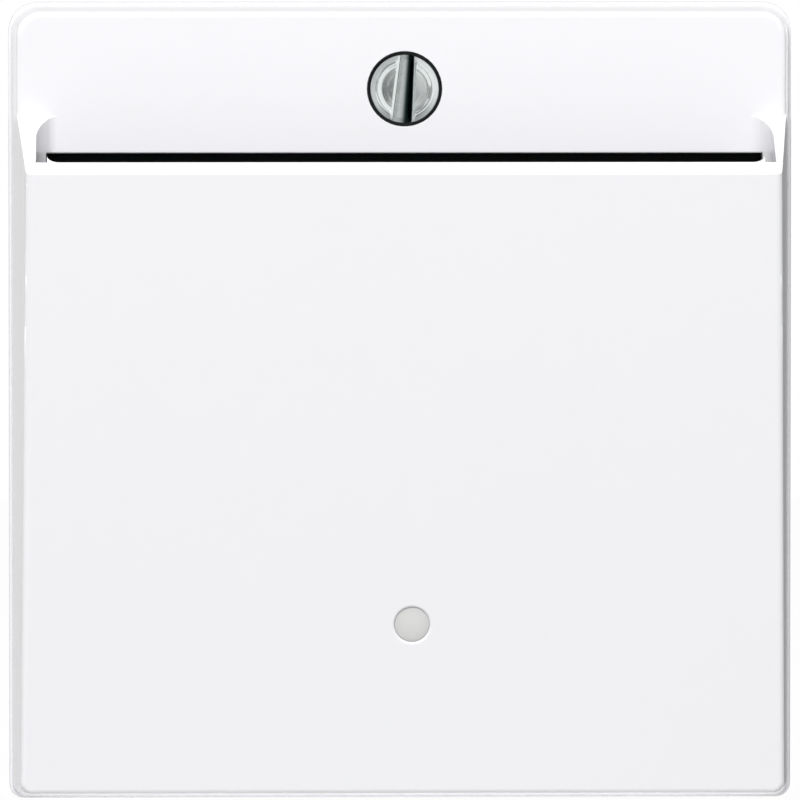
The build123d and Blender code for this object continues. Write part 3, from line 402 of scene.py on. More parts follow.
@dataclass(frozen=True)
class MilkyPlastic(Finish):
    """Translucent milky plastic, denser towards its rim.

    Attributes:
        centre: Middle of the lens.
        radius: Radius at which it is densest.
        haze_size: Size of the clouds in it.
        spread: How far light spreads in it.
    """

    centre: Point = (0.0, 0.0, 0.0)
    radius: float = 1.5 * MM
    haze_size: float = 0.4 * MM
    spread: float = 0.6 * MM

    def wire(self, graph: Graph) -> None:
        """Fill the material's graph.

        Args:
            graph: The graph.
        """
        place = graph.place(offset=self.centre)
        rim = (graph.length(place) / self.radius).clamped() ** 3.0
        haze = graph.noise(place, self.haze_size, 3.0)
        graph.surface(
            {
                "Base Color": graph.blend(rim * 0.6 + haze * 0.2, self.colour, self.shade(0.86)),
                "Roughness": self.roughness * (0.8 + 0.4 * haze),
                "Subsurface Weight": 0.4,
                "Subsurface Radius": (1.0, 1.0, 1.0),
                "Subsurface Scale": self.spread,
                "Normal": graph.relief(haze, 0.002 * MM, 0.1 * MM),
            }
        )


@dataclass(frozen=True)
class ClearPlastic(Finish):
    """Clear plastic or glass with faint flow marks.

    Attributes:
        index: Its refractive index.
        streak_size: Width of the flow marks.
    """

    index: float = 1.49
    streak_size: float = 0.5 * MM

    def wire(self, graph: Graph) -> None:
        """Fill the material's graph.

        Args:
            graph: The graph.
        """
        streak = graph.noise(graph.place(scale=(1.0, 0.25, 1.0)), self.streak_size, 2.0)
        graph.surface(
            {
                "Base Color": graph.blend(streak, self.shade(0.97), self.colour),
                "Roughness": self.roughness * (0.6 + 0.8 * streak),
                "Transmission Weight": 0.92,
                "IOR": self.index,
                "Normal": graph.relief(streak, 0.004 * MM, 0.05 * MM),
            }
        )


@dataclass(frozen=True)
class TurnedMetal(Finish):
    """Turned metal with rings round an axis along Y, and any painted shade in a slot's floor.

    Attributes:
        axis_x: Where the axis stands across.
        axis_z: Height of the axis.
        pitch: Distance between the tool's rings.
        scuff_size: Size of its scuffs.
        shoulder: Radius beyond which the metal is matt.
        matting: How much rougher it is there.
        slot_shade_start: Depth at which the painted shade in a slot's floor begins.
        slot_shade_full: Depth from which it covers the metal.
        slot_shade_end: Depth at which it ends, where the head does.
        slot_shade: Colour of the painted shade.
    """

    axis_x: float = 0.0
    axis_z: float = 0.0
    pitch: float = 0.06 * MM
    scuff_size: float = 0.35 * MM
    shoulder: float = 1.0
    matting: float = 0.3
    slot_shade_start: float = 1.0
    slot_shade_full: float = 2.0
    slot_shade_end: float = 3.0
    slot_shade: Colour = (0.03, 0.05, 0.05)

    def wire(self, graph: Graph) -> None:
        """Fill the material's graph.

        Args:
            graph: The graph.
        """
        axis = (self.axis_x, 0.0, self.axis_z)
        reach = graph.length(graph.place(scale=(1.0, 0.0, 1.0), offset=axis))
        scuff = graph.noise(graph.place(), self.scuff_size, 4.0)
        rings = graph.node(
            "ShaderNodeTexNoise",
            {"noise_dimensions": "1D"},
            {"W": reach / self.pitch, "Scale": 1.0, "Detail": 2.0},
            "Fac",
        )
        height = rings * 0.7 + scuff * 0.3
        depth = graph.depth()
        # painted shade: darkens and roughens the slot's floor between these depths, where it lies
        # in shade
        rise = ((depth - self.slot_shade_start) / (self.slot_shade_full - self.slot_shade_start)).clamped()
        painted_shade = rise * (1.0 - (depth > self.slot_shade_end))
        metal = graph.blend(rings * 0.6 + scuff * 0.4, self.shade(0.8), self.shade(1.15))
        matt = (reach > self.shoulder) * self.matting
        graph.surface(
            {
                "Base Color": graph.blend(painted_shade, metal, self.slot_shade),
                "Metallic": 1.0,
                "Roughness": self.roughness * (0.75 + 0.5 * scuff) + painted_shade * 0.3 + matt,
                "Normal": graph.relief(height, 0.006 * MM, 0.1 * MM),
            }
        )


@dataclass(frozen=True)
class RolledMetal(Finish):
    """Stamped strip or drawn wire with a grain along one axis.

    Attributes:
        along: Scale of the grain along each axis, small where it runs long.
        grain_size: Width of the grain.
        stain_size: Size of its stains.
        tarnish: Colour of its stains.
    """

    along: Point = (1.0, 1.0, 0.06)
    grain_size: float = 0.08 * MM
    stain_size: float = 2.6 * MM
    tarnish: Colour = (0.3, 0.3, 0.3)

    def wire(self, graph: Graph) -> None:
        """Fill the material's graph.

        Args:
            graph: The graph.
        """
        streak = graph.noise(graph.place(scale=self.along), self.grain_size, 3.0)
        stain = graph.noise(graph.place(), self.stain_size, 5.0)
        stained = ((stain - 0.52) * 5.0).clamped() * 0.5
        bright = graph.blend(streak, self.shade(0.86), self.shade(1.1))
        graph.surface(
            {
                "Base Color": graph.blend(stained, bright, self.tarnish),
                "Metallic": 1.0,
                "Roughness": self.roughness * (0.8 + 0.4 * streak) + stained * 0.2,
                "Normal": graph.relief(streak, 0.004 * MM, 0.06 * MM),
            }
        )


@dataclass(frozen=True)
class Galvanised(Finish):
    """Zinc-coated sheet with its spangle.

    Attributes:
        spangle: Size of the zinc crystals.
        warp_size: Size of the waves that bend their borders.
        warp: How far the borders are bent.
        bloom_size: Size of the patches of white rust.
        bloom: Colour of the white rust.
    """

    spangle: float = 2.6 * MM
    warp_size: float = 3 * MM
    warp: float = MM
    bloom_size: float = 7 * MM
    bloom: Colour = (0.72, 0.73, 0.74)

    def wire(self, graph: Graph) -> None:
        """Fill the material's graph.

        Args:
            graph: The graph.
        """
        place = graph.place()
        waves = graph.node(
            "ShaderNodeTexNoise",
            None,
            {"Vector": place, "Scale": 1.0 / self.warp_size, "Detail": 2.0},
            "Color",
        )
        bent = graph.node(
            "ShaderNodeVectorMath",
            {"operation": "MULTIPLY_ADD"},
            {0: waves, 1: (self.warp, self.warp, self.warp), 2: place},
        )
        crystal = graph.node(
            "ShaderNodeTexVoronoi", None, {"Vector": bent, "Scale": 1.0 / self.spangle}, "Color"
        )
        tone = graph.node("ShaderNodeSeparateColor", None, {"Color": crystal}, "Red")
        fine = graph.noise(place, 0.12 * MM, 3.0)
        patches = graph.noise(place, self.bloom_size, 5.0)
        white_rust = ((patches - 0.56) * 6.0).clamped() * 0.35
        metal = graph.blend(tone * 0.7 + fine * 0.3, self.shade(0.82), self.shade(1.12))
        graph.surface(
            {
                "Base Color": graph.blend(white_rust, metal, self.bloom),
                "Metallic": 1.0 - white_rust * 0.6,
                "Roughness": self.roughness * (0.7 + 0.6 * tone) + white_rust * 0.3,
                "Normal": graph.relief(tone * 0.4 + fine * 0.6, 0.005 * MM, 0.08 * MM),
            }
        )


def finished_piece(
    name: str, shape: bmesh.types.BMesh, finish: bpy.types.Material, body: Body
) -> bpy.types.Object:
    """Make an object of a bmesh and seat it on its body.

    Args:
        name: The piece's name.
        shape: Its finished mesh, in place, which is freed.
        finish: Its material.
        body: The body that it rides on.

    Returns:
        The object.
    """
    mesh = bpy.data.meshes.new(name)
    shape.to_mesh(mesh)
    shape.free()
    mesh.materials.append(finish)
    mesh.shade_smooth()
    mesh.set_sharp_from_angle(angle=CREASE)
    piece = bpy.data.objects.new(name, mesh)
    bpy.context.scene.collection.objects.link(piece)
    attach(piece, body.value)
    LOG.info("%s: %d faces on %s", name, len(mesh.polygons), body.value)
    return piece


def lathe(outline: list[tuple[float, float]], steps: int = 96) -> bmesh.types.BMesh:
    """Solid turned about the Y axis.

    Args:
        outline: Depth and radius of each corner, from one end of the axis to the other.
        steps: Sides of the turned shape.

    Returns:
        The closed solid.
    """
    shape = bmesh.new()
    points = [shape.verts.new((radius, depth, 0.0)) for depth, radius in outline]
    line = [shape.edges.new(pair) for pair in zip(points, points[1:])]
    bmesh.ops.spin(
        shape,
        geom=points + line,
        cent=(0.0, 0.0, 0.0),
        axis=(0.0, 1.0, 0.0),
        angle=2 * math.pi,
        steps=steps,
        use_merge=True,
    )
    bmesh.ops.remove_doubles(shape, verts=shape.verts, dist=WELD)
    bmesh.ops.recalc_face_normals(shape, faces=shape.faces)
    return shape


def temporary(shape: bmesh.types.BMesh) -> bpy.types.Object:
    """Put a bmesh into the scene for a while.

    Args:
        shape: The mesh, which is freed.

    Returns:
        An object of it.
    """
    mesh = bpy.data.meshes.new("temporary")
    shape.to_mesh(mesh)
    shape.free()
    made = bpy.data.objects.new("temporary", mesh)
    bpy.context.scene.collection.objects.link(made)
    return made


def cut(shape: bmesh.types.BMesh, cutter: bmesh.types.BMesh) -> bmesh.types.BMesh:
    """Take one solid out of another. Both are freed.

    Args:
        shape: The solid that is cut.
        cutter: What is taken out.

    Returns:
        What is left.
    """
    whole, tool = temporary(shape), temporary(cutter)
    modifier = whole.modifiers.new("cut", "BOOLEAN")
    modifier.operation = "DIFFERENCE"
    modifier.solver = "EXACT"
    modifier.object = tool
    depsgraph = bpy.context.evaluated_depsgraph_get()
    left = bpy.data.meshes.new_from_object(whole.evaluated_get(depsgraph))
    result = bmesh.new()
    result.from_mesh(left)
    for made in (whole, tool):
        mesh = made.data
        bpy.data.objects.remove(made)
        bpy.data.meshes.remove(mesh)
    bpy.data.meshes.remove(left)
    return result


def seat(shape: bmesh.types.BMesh, place: Vector) -> bmesh.types.BMesh:
    """Scale a shape from millimetres to metres and move it to its place.

    Args:
        shape: The shape, in millimetres.
        place: Where its origin goes, in metres.

    Returns:
        The same shape.
    """
    matrix = Matrix.Translation(place) @ Matrix.Scale(MM, 4)
    bmesh.ops.transform(shape, matrix=matrix, verts=shape.verts)
    return shape


def dress(finish: Finish, *nodes: str) -> None:
    """Give nodes of the frame one finish.

    Args:
        finish: The finish.
        *nodes: The nodes' names.
    """
    material = finish.material()
    for node in nodes:
        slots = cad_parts[node].data.materials
        slots.clear()
        slots.append(material)
        LOG.info("%s: dressed in %s", node, finish.name)


class HeadForm(Enum):
    """Forms of a slotted head: shares of its length and radius, from the middle outwards."""

    DISHED = (
        (0.028, 0.0),
        (0.031, 0.25),
        (0.04, 0.5),
        (0.05, 0.65),
        (0.052, 0.69),
        (0.044, 0.72),
        (0.025, 0.75),
        (0.006, 0.78),
        (0.0, 0.805),
        (0.005, 0.83),
        (0.019, 0.86),
        (0.036, 0.885),
        (0.073, 0.985),
        (0.1, 1.0),
        (0.99, 1.0),
    )
    PAN = (
        (0.0, 0.0),
        (0.01, 0.3),
        (0.05, 0.55),
        (0.13, 0.76),
        (0.27, 0.91),
        (0.45, 0.99),
        (0.6, 1.0),
        (0.98, 0.99),
    )


@dataclass
class SlottedScrew:
    """Screw with a milled slot and a cut thread, in place of the frame's plain one. Millimetres.

    Attributes:
        node: The node that it replaces.
        body: The body that it rides on.
        slot: The record's material slot.
        form: Form of its head.
        head_radius: Radius of its head.
        head_length: Length of its head.
        crest: Outer radius of its thread.
        pitch: Pitch of its thread.
        tip_share: Length of its chamfered tip as a share of the crest.
        walls: Places of the slot's two walls, left and right of the axis.
        leans: How far each wall leans to the right over a length upwards.
        depth: Depth of the slot at its walls.
        fall: How much deeper its floor is at the right wall.
        slot_shade_depths: Depths between which painted shade darkens the slot's floor, if it has
            any.
        polished: Radius within which the head is polished.
        colour: Colour of its metal.
        roughness: Roughness of its metal.
    """

    node: str
    body: Body
    slot: str
    form: HeadForm
    head_radius: float
    head_length: float
    crest: float
    pitch: float
    walls: tuple[float, float]
    tip_share: float = 0.4
    leans: tuple[float, float] = (0.0, 0.0)
    depth: float = 1.0
    fall: float = 0.0
    slot_shade_depths: Optional[tuple[float, float]] = None
    polished: float = 10.0
    colour: Colour = (0.6, 0.6, 0.58)
    roughness: float = 0.3

    def blank(self, length: float) -> bmesh.types.BMesh:
        """Turned head and core, without slot and thread.

        Args:
            length: Length of the whole screw.

        Returns:
            The solid, with the top of its head at the origin.
        """
        chamfer = 0.05
        fillet = 0.1
        root = self.crest - 0.54 * self.pitch
        tip = self.tip_share * self.crest
        head = [(deep * self.head_length, out * self.head_radius) for deep, out in self.form.value]
        neck = [
            (self.head_length, self.head_radius - chamfer),
            (self.head_length, root + fillet),
            (self.head_length + fillet, root),
            (length - tip, root),
            (length, root - tip),
            (length, 0.0),
        ]
        return lathe(head + neck)

    def groove(self) -> bmesh.types.BMesh:
        """Solid of the slot, with its flared mouth and its hollow floor.

        Returns:
            The solid to take out of the head.
        """
        flare = ((0.52, -0.4), (0.44, -0.03), (0.25, 0.12), (0.1, 0.19), (0.03, 0.26), (0.0, 0.36))
        floor_steps = 8
        left = [(-out, deep, 0.0) for out, deep in flare]
        right = [(out, deep, 1.0) for out, deep in reversed(flare)]
        floor = [
            (0.0, self.depth + self.fall * share**3, share)
            for share in (step / floor_steps for step in range(floor_steps + 1))
        ]
        reach = self.head_radius + 1.0
        shape = bmesh.new()
        section = []
        shares = []
        for out, deep, share in left + floor + right:
            section.append(shape.verts.new((out, deep, -reach)))
            shares.append((out, share))
        shape.faces.new(section)
        grown = bmesh.ops.extrude_face_region(shape, geom=shape.faces[:])["geom"]
        top = [item for item in grown if isinstance(item, bmesh.types.BMVert)]
        bmesh.ops.translate(shape, vec=(0.0, 0.0, 2 * reach), verts=top)
        shape.verts.ensure_lookup_table()
        for (out, share), low, high in zip(shares, section, top):
            for vert in (low, high):
                near, far = (wall + lean * vert.co.z for wall, lean in zip(self.walls, self.leans))
                vert.co.x = out + near + share * (far - near)
        bmesh.ops.recalc_face_normals(shape, faces=shape.faces)
        return shape

    def thread(self, shape: bmesh.types.BMesh, length: float) -> None:
        """Add the thread's ridge.

        Args:
            shape: The screw that it goes on.
            length: Length of the whole screw.
        """
        steps_a_turn = 32
        half_flat = 0.05
        root = self.crest - 0.58 * self.pitch
        half = 0.46 * self.pitch
        start = self.head_length + 1.2 * self.pitch
        turns = (length - self.tip_share * self.crest - start - half) / self.pitch
        ridge = (
            (start - half, root),
            (start - half_flat, self.crest),
            (start + half_flat, self.crest),
            (start + half, root),
        )
        section = [shape.verts.new((radius, depth, 0.0)) for depth, radius in ridge]
        face = shape.faces.new(section)
        bmesh.ops.spin(
            shape,
            geom=section + list(face.edges) + [face],
            cent=(0.0, 0.0, 0.0),
            axis=(0.0, 1.0, 0.0),
            dvec=(0.0, self.pitch / steps_a_turn, 0.0),
            angle=-2 * math.pi * turns,
            steps=int(steps_a_turn * turns),
        )

    def build(self) -> None:
        """Make the screw and put it in its node's place."""
        low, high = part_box(self.node)
        middle = (low + high) / 2
        length = (high.y - low.y) / MM
        shape = cut(self.blank(length), self.groove())
        self.thread(shape, length)
        bmesh.ops.recalc_face_normals(shape, faces=shape.faces)
        seat(shape, Vector((middle.x, low.y, middle.z)))
        # settings of the painted shade in the slot's floor
        slot_shade = {}
        if self.slot_shade_depths:
            start, full = (low.y + depth * MM for depth in self.slot_shade_depths)
            end = low.y + self.head_length * MM
            slot_shade = {"slot_shade_start": start, "slot_shade_full": full, "slot_shade_end": end}
        steel = TurnedMetal(
            f"{self.node}_steel",
            self.colour,
            self.roughness,
            axis_x=middle.x,
            axis_z=middle.z,
            shoulder=self.polished * MM,
            **slot_shade,
        )
        piece = finished_piece(f"{self.node}_cut", shape, steel.material(), self.body)
        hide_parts(self.node)


@dataclass
class Cover:
    """Housing and front panel of the cover.

    Attributes:
        colour: Colour of its plastic.
        screw_proud: How far the screw's head stands before the mouth of its hole.
    """

    colour: Colour = (0.86, 0.86, 0.885)
    screw_proud: float = 0.3 * MM

    def build(self) -> None:
        """Dress the housing and the panel."""
        low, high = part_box("cover_screw")
        middle = (low + high) / 2
        # the housing's colour carries painted shade down the screw's hole
        white = ShadedBorePlastic(
            "cover_white",
            self.colour,
            0.16,
            grain=0.5 * MM,
            height=0.0008 * MM,
            cloud=0.004,
            bore=(middle.x, low.y + self.screw_proud, middle.z),
        )
        dress(white, "cover_housing", "front_panel")


@dataclass
class Indicator:
    """Domed lens, light guide, lamp and its holder.

    Attributes:
        milky_colour: Colour of the lens.
        lean: How far the panel's face comes forward over a height.
        radius: Radius of the frame's flat lens, in millimetres.
        growth: How much wider the domed lens is, in millimetres.
        crown: Height of its dome, in millimetres.
        rim_depth: Depth of its rounded rim, in millimetres.
        flange_radius: Radius of the flange behind the panel, in millimetres.
        flange_length: Length of the flange, in millimetres.
        guide: Finish of the light guide.
        glass: Finish of the lamp.
        holder: Finish of the lamp's holder.
    """

    milky_colour: Colour = (0.7, 0.7, 0.69)
    lean: float = 0.1208
    radius: float = 1.5
    growth: float = 0.04
    crown: float = 0.12
    rim_depth: float = 0.03
    flange_radius: float = 2.0
    flange_length: float = 0.75
    guide: ClearPlastic = ClearPlastic("guide_clear", (0.95, 0.96, 0.97), 0.06)
    glass: ClearPlastic = ClearPlastic("lamp_glass", (0.97, 0.95, 0.92), 0.03, index=1.5)
    holder: MouldedPlastic = MouldedPlastic(
        "holder_grey", (0.42, 0.42, 0.42), 0.5, height=0.004 * MM
    )

    def lens(self) -> None:
        """Make the lens, whose dome leans with the panel."""
        low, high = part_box("indicator_lens")
        middle = (low + high) / 2
        front = low.y + self.lean * self.radius * MM
        length = (high.y - front) / MM
        rim = self.radius + self.growth
        rings = 8
        dome = [
            (self.crown * (share**2 - 1.0), rim * share * 0.98)
            for share in (step / rings for step in range(rings + 1))
        ]
        sleeve = [
            (self.rim_depth, rim),
            (length - self.flange_length, rim),
            (length - self.flange_length, self.flange_radius),
            (length, self.flange_radius),
            (length, 0.0),
        ]
        shape = lathe(dome + sleeve, 64)
        front_half = [vert for vert in shape.verts if vert.co.y < length / 2]
        shear = Matrix.Identity(4)
        shear[1][2] = -self.lean
        bmesh.ops.transform(shape, matrix=shear, verts=front_half)
        place = (middle.x, front, middle.z)
        seat(shape, Vector(place))
        milky = MilkyPlastic("lens_milky", self.milky_colour, 0.22, centre=place)
        piece = finished_piece("lens_dome", shape, milky.material(), Body.UNIT)
        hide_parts("indicator_lens")

    def build(self) -> None:
        """Make the lens and dress the other optical pieces."""
        self.lens()
        dress(self.guide, "light_guide")
        dress(self.glass, "lamp")
        dress(self.holder, "lamp_holder")


@dataclass
class CardPocket:
    """Guide, flap, pin and spring of the card pocket, and the clamps' springs, of the same steel.

    Attributes:
        black: Finish of the guide and the flap.
        pin: Finish of the pin.
        spring: Finish of the springs.
    """

    black: MouldedPlastic = MouldedPlastic(
        "pocket_black", (0.003, 0.004, 0.004), 0.6, height=0.01 * MM, cloud=0.1, shine=0.12
    )
    pin: RolledMetal = RolledMetal("pin_steel", (0.6, 0.6, 0.61), 0.25, along=(0.06, 1.0, 1.0))
    spring: RolledMetal = RolledMetal("spring_steel", (0.56, 0.56, 0.57), 0.28)

    def build(self) -> None:
        """Dress the pocket's pieces."""
        dress(self.black, "card_guide", "card_flap")
        dress(self.pin, "flap_pin")
        dress(self.spring, "flap_spring", "clamp_springs")


def claw_screw(side: str, body: Body) -> SlottedScrew:
    """Screw that spreads a claw.

    Args:
        side: Side that it is on.
        body: The body that it rides on.

    Returns:
        The screw.
    """
    return SlottedScrew(
        f"claw_screw_{side}",
        body,
        "claw_screw_steel",
        HeadForm.PAN,
        head_radius=2.9,
        head_length=1.95,
        crest=1.74,
        pitch=0.7,
        walls=(-0.5, 0.5),
    )


@dataclass
class Fixings:
    """Cover screw, support ring, rivets, claws and their screws.

    Attributes:
        zinc: Finish of the ring.
        claw: Finish of the claws.
        rivet: Finish of the rivets.
        screws: The three screws.
    """

    zinc: Galvanised = Galvanised("ring_steel", (0.62, 0.63, 0.64), 0.36)
    claw: RolledMetal = RolledMetal(
        "claw_steel", (0.5, 0.5, 0.49), 0.34, tarnish=(0.42, 0.36, 0.24)
    )
    rivet: TurnedMetal = TurnedMetal("rivet_steel", (0.6, 0.6, 0.6), 0.35)
    screws: tuple[SlottedScrew, ...] = (
        SlottedScrew(
            "cover_screw",
            Body.UNIT,
            "screw_steel",
            HeadForm.DISHED,
            head_radius=3.03,
            head_length=2.6,
            crest=1.5,
            pitch=0.5,
            walls=(-0.67, 0.73),
            leans=(0.125, 0.042),
            depth=0.95,
            fall=0.6,
            # painted shade darkens the slot's floor between these depths
            slot_shade_depths=(0.88, 1.12),
            polished=2.6,
            colour=(0.78, 0.82, 0.815),
            roughness=0.12,
        ),
        claw_screw("left", Body.SCREW_LEFT),
        claw_screw("right", Body.SCREW_RIGHT),
    )

    def build(self) -> None:
        """Dress the metal pieces and make the screws."""
        dress(self.zinc, "support_ring")
        dress(self.claw, "claw_left", "claw_right")
        for screw in self.screws:
            screw.build()
        dress(self.rivet, "ring_rivets")


@dataclass
class Insert:
    """Base, cap, cradle, keys and contacts of the switch insert.

    Attributes:
        grey: Finish of the base.
        cap: Finish of the cap.
        cradle: Finish of the cradle.
        orange: Finish of the release keys.
        brass: Finish of the strips.
        bronze: Finish of the contact leaf.
        silver: Finish of the contacts.
    """

    grey: MouldedPlastic = MouldedPlastic(
        "base_grey", (0.6, 0.6, 0.575), 0.5, grain=0.3 * MM, height=0.008 * MM, cloud=0.03
    )
    cap: MouldedPlastic = MouldedPlastic(
        "cap_grey", (0.4, 0.41, 0.41), 0.48, height=0.006 * MM, cloud=0.03
    )
    cradle: MouldedPlastic = MouldedPlastic(
        "cradle_white", (0.74, 0.74, 0.71), 0.38, height=0.004 * MM
    )
    orange: MouldedPlastic = MouldedPlastic(
        "key_orange", (0.75, 0.2, 0.03), 0.42, height=0.006 * MM, cloud=0.05
    )
    brass: RolledMetal = RolledMetal(
        "strip_brass", (0.72, 0.52, 0.2), 0.3, along=(0.06, 1.0, 1.0), tarnish=(0.36, 0.2, 0.09)
    )
    bronze: RolledMetal = RolledMetal(
        "leaf_bronze", (0.68, 0.42, 0.22), 0.28, tarnish=(0.4, 0.2, 0.12)
    )
    silver: TurnedMetal = TurnedMetal("contact_silver", (0.78, 0.77, 0.74), 0.22)

    def build(self) -> None:
        """Dress the insert's pieces."""
        dress(self.grey, "insert_base")
        dress(self.cap, "insert_cap")
        dress(self.cradle, "rocker_cradle")
        dress(self.orange, "release_key_supply", "release_key_switched", "release_key_neutral")
        dress(self.brass, "supply_strip", "switched_strip", "neutral_strip")
        dress(self.bronze, "contact_leaf")
        dress(self.silver, "moving_contact", "fixed_contact")


@dataclass
class SoftBox:
    """Area lamp that lights the object and that no reflection shows.

    Attributes:
        name: Its name.
        place: Where it hangs.
        aim: What it points at.
        width: Its width.
        height: Its height.
        power: Its power in watts.
    """

    name: str
    place: Point
    aim: Point
    width: float
    height: float
    power: float

    def hang(self) -> None:
        """Add the lamp to the scene."""
        lamp = bpy.data.lights.new(self.name, "AREA")
        lamp.shape = "RECTANGLE"
        lamp.size = self.width
        lamp.size_y = self.height
        lamp.energy = self.power
        holder = bpy.data.objects.new(self.name, lamp)
        holder.visible_glossy = False
        holder.location = self.place
        look = Vector(self.aim) - Vector(self.place)
        holder.rotation_euler = look.to_track_quat("-Z", "Y").to_euler()
        bpy.context.scene.collection.objects.link(holder)


@dataclass
class Card:
    """Plain card that only reflections show.

    Attributes:
        name: Its name.
        place: Where it stands.
        width: Its width.
        height: Its height.
        glow: How bright it is at its left end, where 1 is white.
        aim: What it faces.
        far_glow: How bright it is at its right end, the same if none is given.
        curve: Power by which the brightness rises between the two.
        turn: Its turn about the line to its aim, in degrees.
        lights: Whether it also lights the object.
    """

    name: str
    place: Point
    width: float
    height: float
    glow: float
    aim: Point = (0.0, 0.0, 0.0)
    far_glow: Optional[float] = None
    curve: float = 1.0
    turn: float = 0.0
    lights: bool = False

    def stand(self) -> None:
        """Add the card to the scene."""
        far_glow = self.glow if self.far_glow is None else self.far_glow
        shape = bmesh.new()
        bmesh.ops.create_grid(shape, x_segments=1, y_segments=1, size=0.5)
        bmesh.ops.scale(shape, vec=(self.width, self.height, 1.0), verts=shape.verts)
        look = Vector(self.aim) - Vector(self.place)
        turned = look.to_track_quat("-Z", "Y").to_matrix().to_4x4()
        rolled = Matrix.Rotation(math.radians(self.turn), 4, "Z")
        matrix = Matrix.Translation(self.place) @ turned @ rolled
        bmesh.ops.transform(shape, matrix=matrix, verts=shape.verts)
        mesh = bpy.data.meshes.new(self.name)
        shape.to_mesh(mesh)
        shape.free()
        made = bpy.data.materials.new(self.name)
        made.use_nodes = True
        graph = Graph(made.node_tree)
        across = (turned @ rolled).to_3x3() @ Vector((1.0 / self.width, 0.0, 0.0))
        spot = graph.place(offset=self.place)
        share = graph.node(
            "ShaderNodeVectorMath", {"operation": "DOT_PRODUCT"}, {0: spot, 1: across}, "Value"
        )
        strength = self.glow + (far_glow - self.glow) * (share + 0.5).clamped() ** self.curve
        glow = graph.node("ShaderNodeEmission", None, {"Color": WHITE, "Strength": strength})
        graph.node("ShaderNodeOutputMaterial", None, {"Surface": glow})
        mesh.materials.append(made)
        card = bpy.data.objects.new(self.name, mesh)
        card.visible_camera = False
        card.visible_diffuse = self.lights
        card.visible_shadow = False
        card.visible_transmission = False
        bpy.context.scene.collection.objects.link(card)
        card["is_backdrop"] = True


def rear_card(
    name: str, across: float, middle: float, width: float, height: float, glow: float
) -> Card:
    """Card behind the cover, which its flat-angled walls mirror.

    Args:
        name: Its name.
        across: Where its middle stands across.
        middle: Height of its middle.
        width: Its width.
        height: Its height.
        glow: How bright it is, where 1 is white.

    Returns:
        The card, which faces straight forward.
    """
    behind = 0.06
    aim = (across, -1.0, middle)
    return Card(name, (across, behind, middle), width, height, glow, aim=aim)


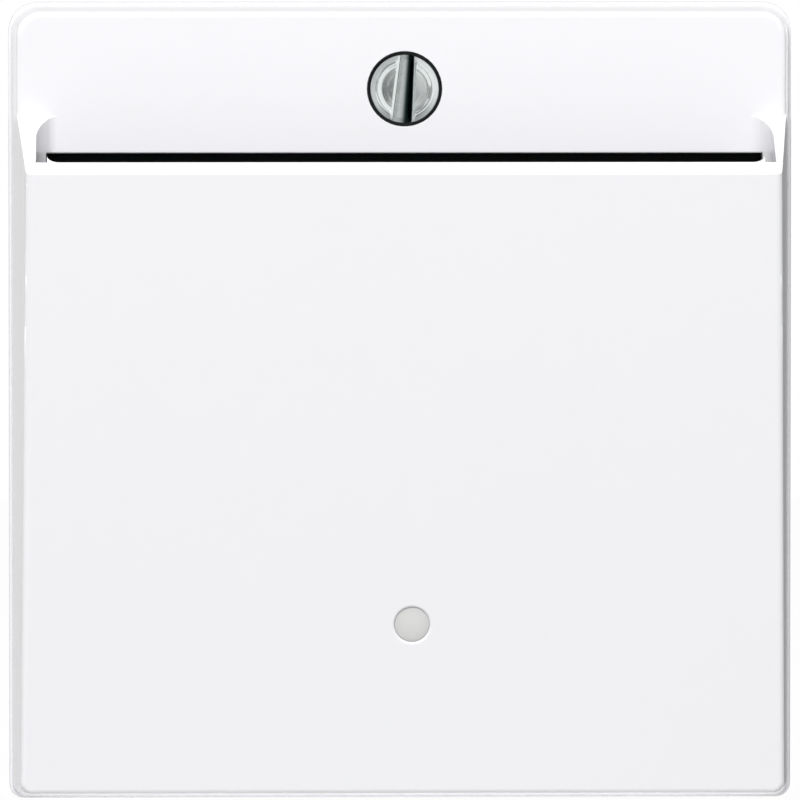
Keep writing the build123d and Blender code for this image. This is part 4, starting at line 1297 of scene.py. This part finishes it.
@dataclass
class Studio:
    """Floor, white surroundings, lamps, cards and camera.

    Attributes:
        fill: Strength of the surroundings on the object.
        floor_reach: Half width of the floor.
        floor_glow: Share of plain white in the floor that the camera sees.
        floor_gap: How far the floor lies below the object.
        floor_bounce: Colour of the light that the floor throws back on the object.
        camera_place: Where the camera stands.
        camera_aim: What the camera looks at.
        lens: Focal length in millimetres.
        boxes: The lamps.
        cards: The cards.
    """

    fill: float = 0.52
    floor_reach: float = 0.6
    floor_glow: float = 0.92
    floor_gap: float = 7 * MM
    floor_bounce: Colour = (0.35, 0.35, 0.35)
    camera_place: Point = (-0.024, -1.0, 0.047)
    camera_aim: Point = (0.0, -0.0012, 0.0)
    lens: float = 502.8
    boxes: tuple[SoftBox, ...] = (
        SoftBox("key_box", (-0.25, -1.4, 1.45), (0.0, 0.0, 0.0), 1.0, 0.8, 33.0),
        SoftBox("front_box", (-0.3, -1.9, 0.35), (0.0, 0.0, 0.0), 0.7, 0.5, 4.5),
    )
    cards: tuple[Card, ...] = (
        rear_card("dark_side_card", 0.0565, -0.0131, 0.04, 0.0738, 0.19),
        rear_card("pale_side_card", 0.0565, 0.0369, 0.04, 0.0262, 1.25),
        rear_card("grey_side_card", -0.0565, -0.0131, 0.04, 0.0738, 0.84),
        rear_card("light_side_card", -0.0565, 0.0369, 0.04, 0.0262, 1.1),
        rear_card("top_card", 0.0, 0.0565, 0.1, 0.04, 0.72),
        Card(
            "room_card",
            (0.035, -1.35, -0.02),
            0.55,
            0.55,
            0.12,
            aim=(0.035, 0.0, -0.02),
            far_glow=1.3,
            curve=2.5,
            turn=45.0,
        ),
        Card("left_card", (-0.9, -1.1, 0.0), 0.7, 0.9, 0.25),
        Card("right_card", (1.2, -0.3, 0.0), 0.6, 0.7, 1.4),
        Card("edge_card", (-0.7, 0.08, 0.05), 0.4, 0.7, 3.0),
        Card("upper_card", (-0.4, -1.1, 0.6), 0.9, 0.8, 0.35),
        Card("ceiling_card", (0.0, -0.55, 1.6), 2.4, 0.9, 0.5),
        Card(
            "foot_card",
            (0.0, -0.0045, -0.0425),
            0.07,
            0.012,
            1.7,
            aim=(0.0, -0.0045, 0.0),
            lights=True,
        ),
    )

    def surroundings(self) -> None:
        """Light the scene evenly and show white round the object."""
        world = bpy.data.worlds.new("studio")
        world.use_nodes = True
        graph = Graph(world.node_tree)
        seen = self._seen(graph)
        soft = graph.node("ShaderNodeBackground", None, {"Color": WHITE, "Strength": self.fill})
        white = graph.node("ShaderNodeBackground", None, {"Color": WHITE, "Strength": 1.0})
        mixed = graph.node("ShaderNodeMixShader", None, {0: seen, 1: soft, 2: white})
        graph.node("ShaderNodeOutputWorld", None, {"Surface": mixed})
        bpy.context.scene.world = world

    @staticmethod
    def _seen(graph: Graph, direct: float = 1.0) -> Signal:
        """Share of white for the rays that show the background.

        Args:
            graph: The graph of the world or of the floor.
            direct: The share for what the camera sees.

        Returns:
            The share, one for reflections and for what shows through glass.
        """
        camera, glossy, through = (
            graph.node("ShaderNodeLightPath", output=f"Is {kind} Ray")
            for kind in ("Camera", "Glossy", "Transmission")
        )
        return (camera * direct).either(glossy).either(through)

    def floor(self) -> None:
        """Lay a pale floor under the object."""
        low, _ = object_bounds()
        shape = bmesh.new()
        bmesh.ops.create_grid(shape, x_segments=1, y_segments=1, size=self.floor_reach)
        bmesh.ops.translate(shape, vec=(0.0, 0.0, low.z - self.floor_gap), verts=shape.verts)
        mesh = bpy.data.meshes.new("floor")
        shape.to_mesh(mesh)
        shape.free()
        mesh.materials.append(self._floor_material())
        ground = bpy.data.objects.new("floor", mesh)
        bpy.context.scene.collection.objects.link(ground)
        ground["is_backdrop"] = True

    def _floor_material(self) -> bpy.types.Material:
        """Make the floor's material, pale to the camera and duller to the object.

        Returns:
            The material.
        """
        made = bpy.data.materials.new("floor_white")
        made.use_nodes = True
        graph = Graph(made.node_tree)
        paper = graph.noise(graph.place(), 0.6 * MM, 2.0)
        pale = graph.blend(paper, (0.9, 0.9, 0.9), (0.93, 0.93, 0.93))
        direct = graph.node("ShaderNodeLightPath", output="Is Camera Ray")
        colour = graph.blend(direct, self.floor_bounce, pale)
        lit = graph.node("ShaderNodeBsdfDiffuse", None, {"Color": colour})
        glow = graph.node("ShaderNodeEmission", None, {"Color": WHITE, "Strength": 1.0})
        seen = self._seen(graph, self.floor_glow)
        mixed = graph.node("ShaderNodeMixShader", None, {0: seen, 1: lit, 2: glow})
        graph.node("ShaderNodeOutputMaterial", None, {"Surface": mixed})
        return made

    def camera(self) -> None:
        """Stand the camera where the photograph was taken from."""
        data = bpy.data.cameras.new("camera")
        data.lens = self.lens
        data.clip_start = 0.01
        holder = bpy.data.objects.new("camera", data)
        holder.location = self.camera_place
        look = Vector(self.camera_aim) - Vector(self.camera_place)
        holder.rotation_euler = look.to_track_quat("-Z", "Y").to_euler()
        bpy.context.scene.collection.objects.link(holder)
        bpy.context.scene.camera = holder

    def build(self) -> None:
        """Set up the whole studio."""
        self.camera()
        self.surroundings()
        self.floor()
        for box in self.boxes:
            box.hang()
        for card in self.cards:
            card.stand()
        bpy.context.scene.view_settings.view_transform = "Standard"


def main() -> None:
    """Dress the switch, add its fine pieces and light it."""
    logging.basicConfig(level=logging.INFO, format="%(message)s")
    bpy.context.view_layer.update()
    Cover().build()
    Indicator().build()
    CardPocket().build()
    Fixings().build()
    Insert().build()
    Studio().build()


if __name__ == "__main__":
    main()
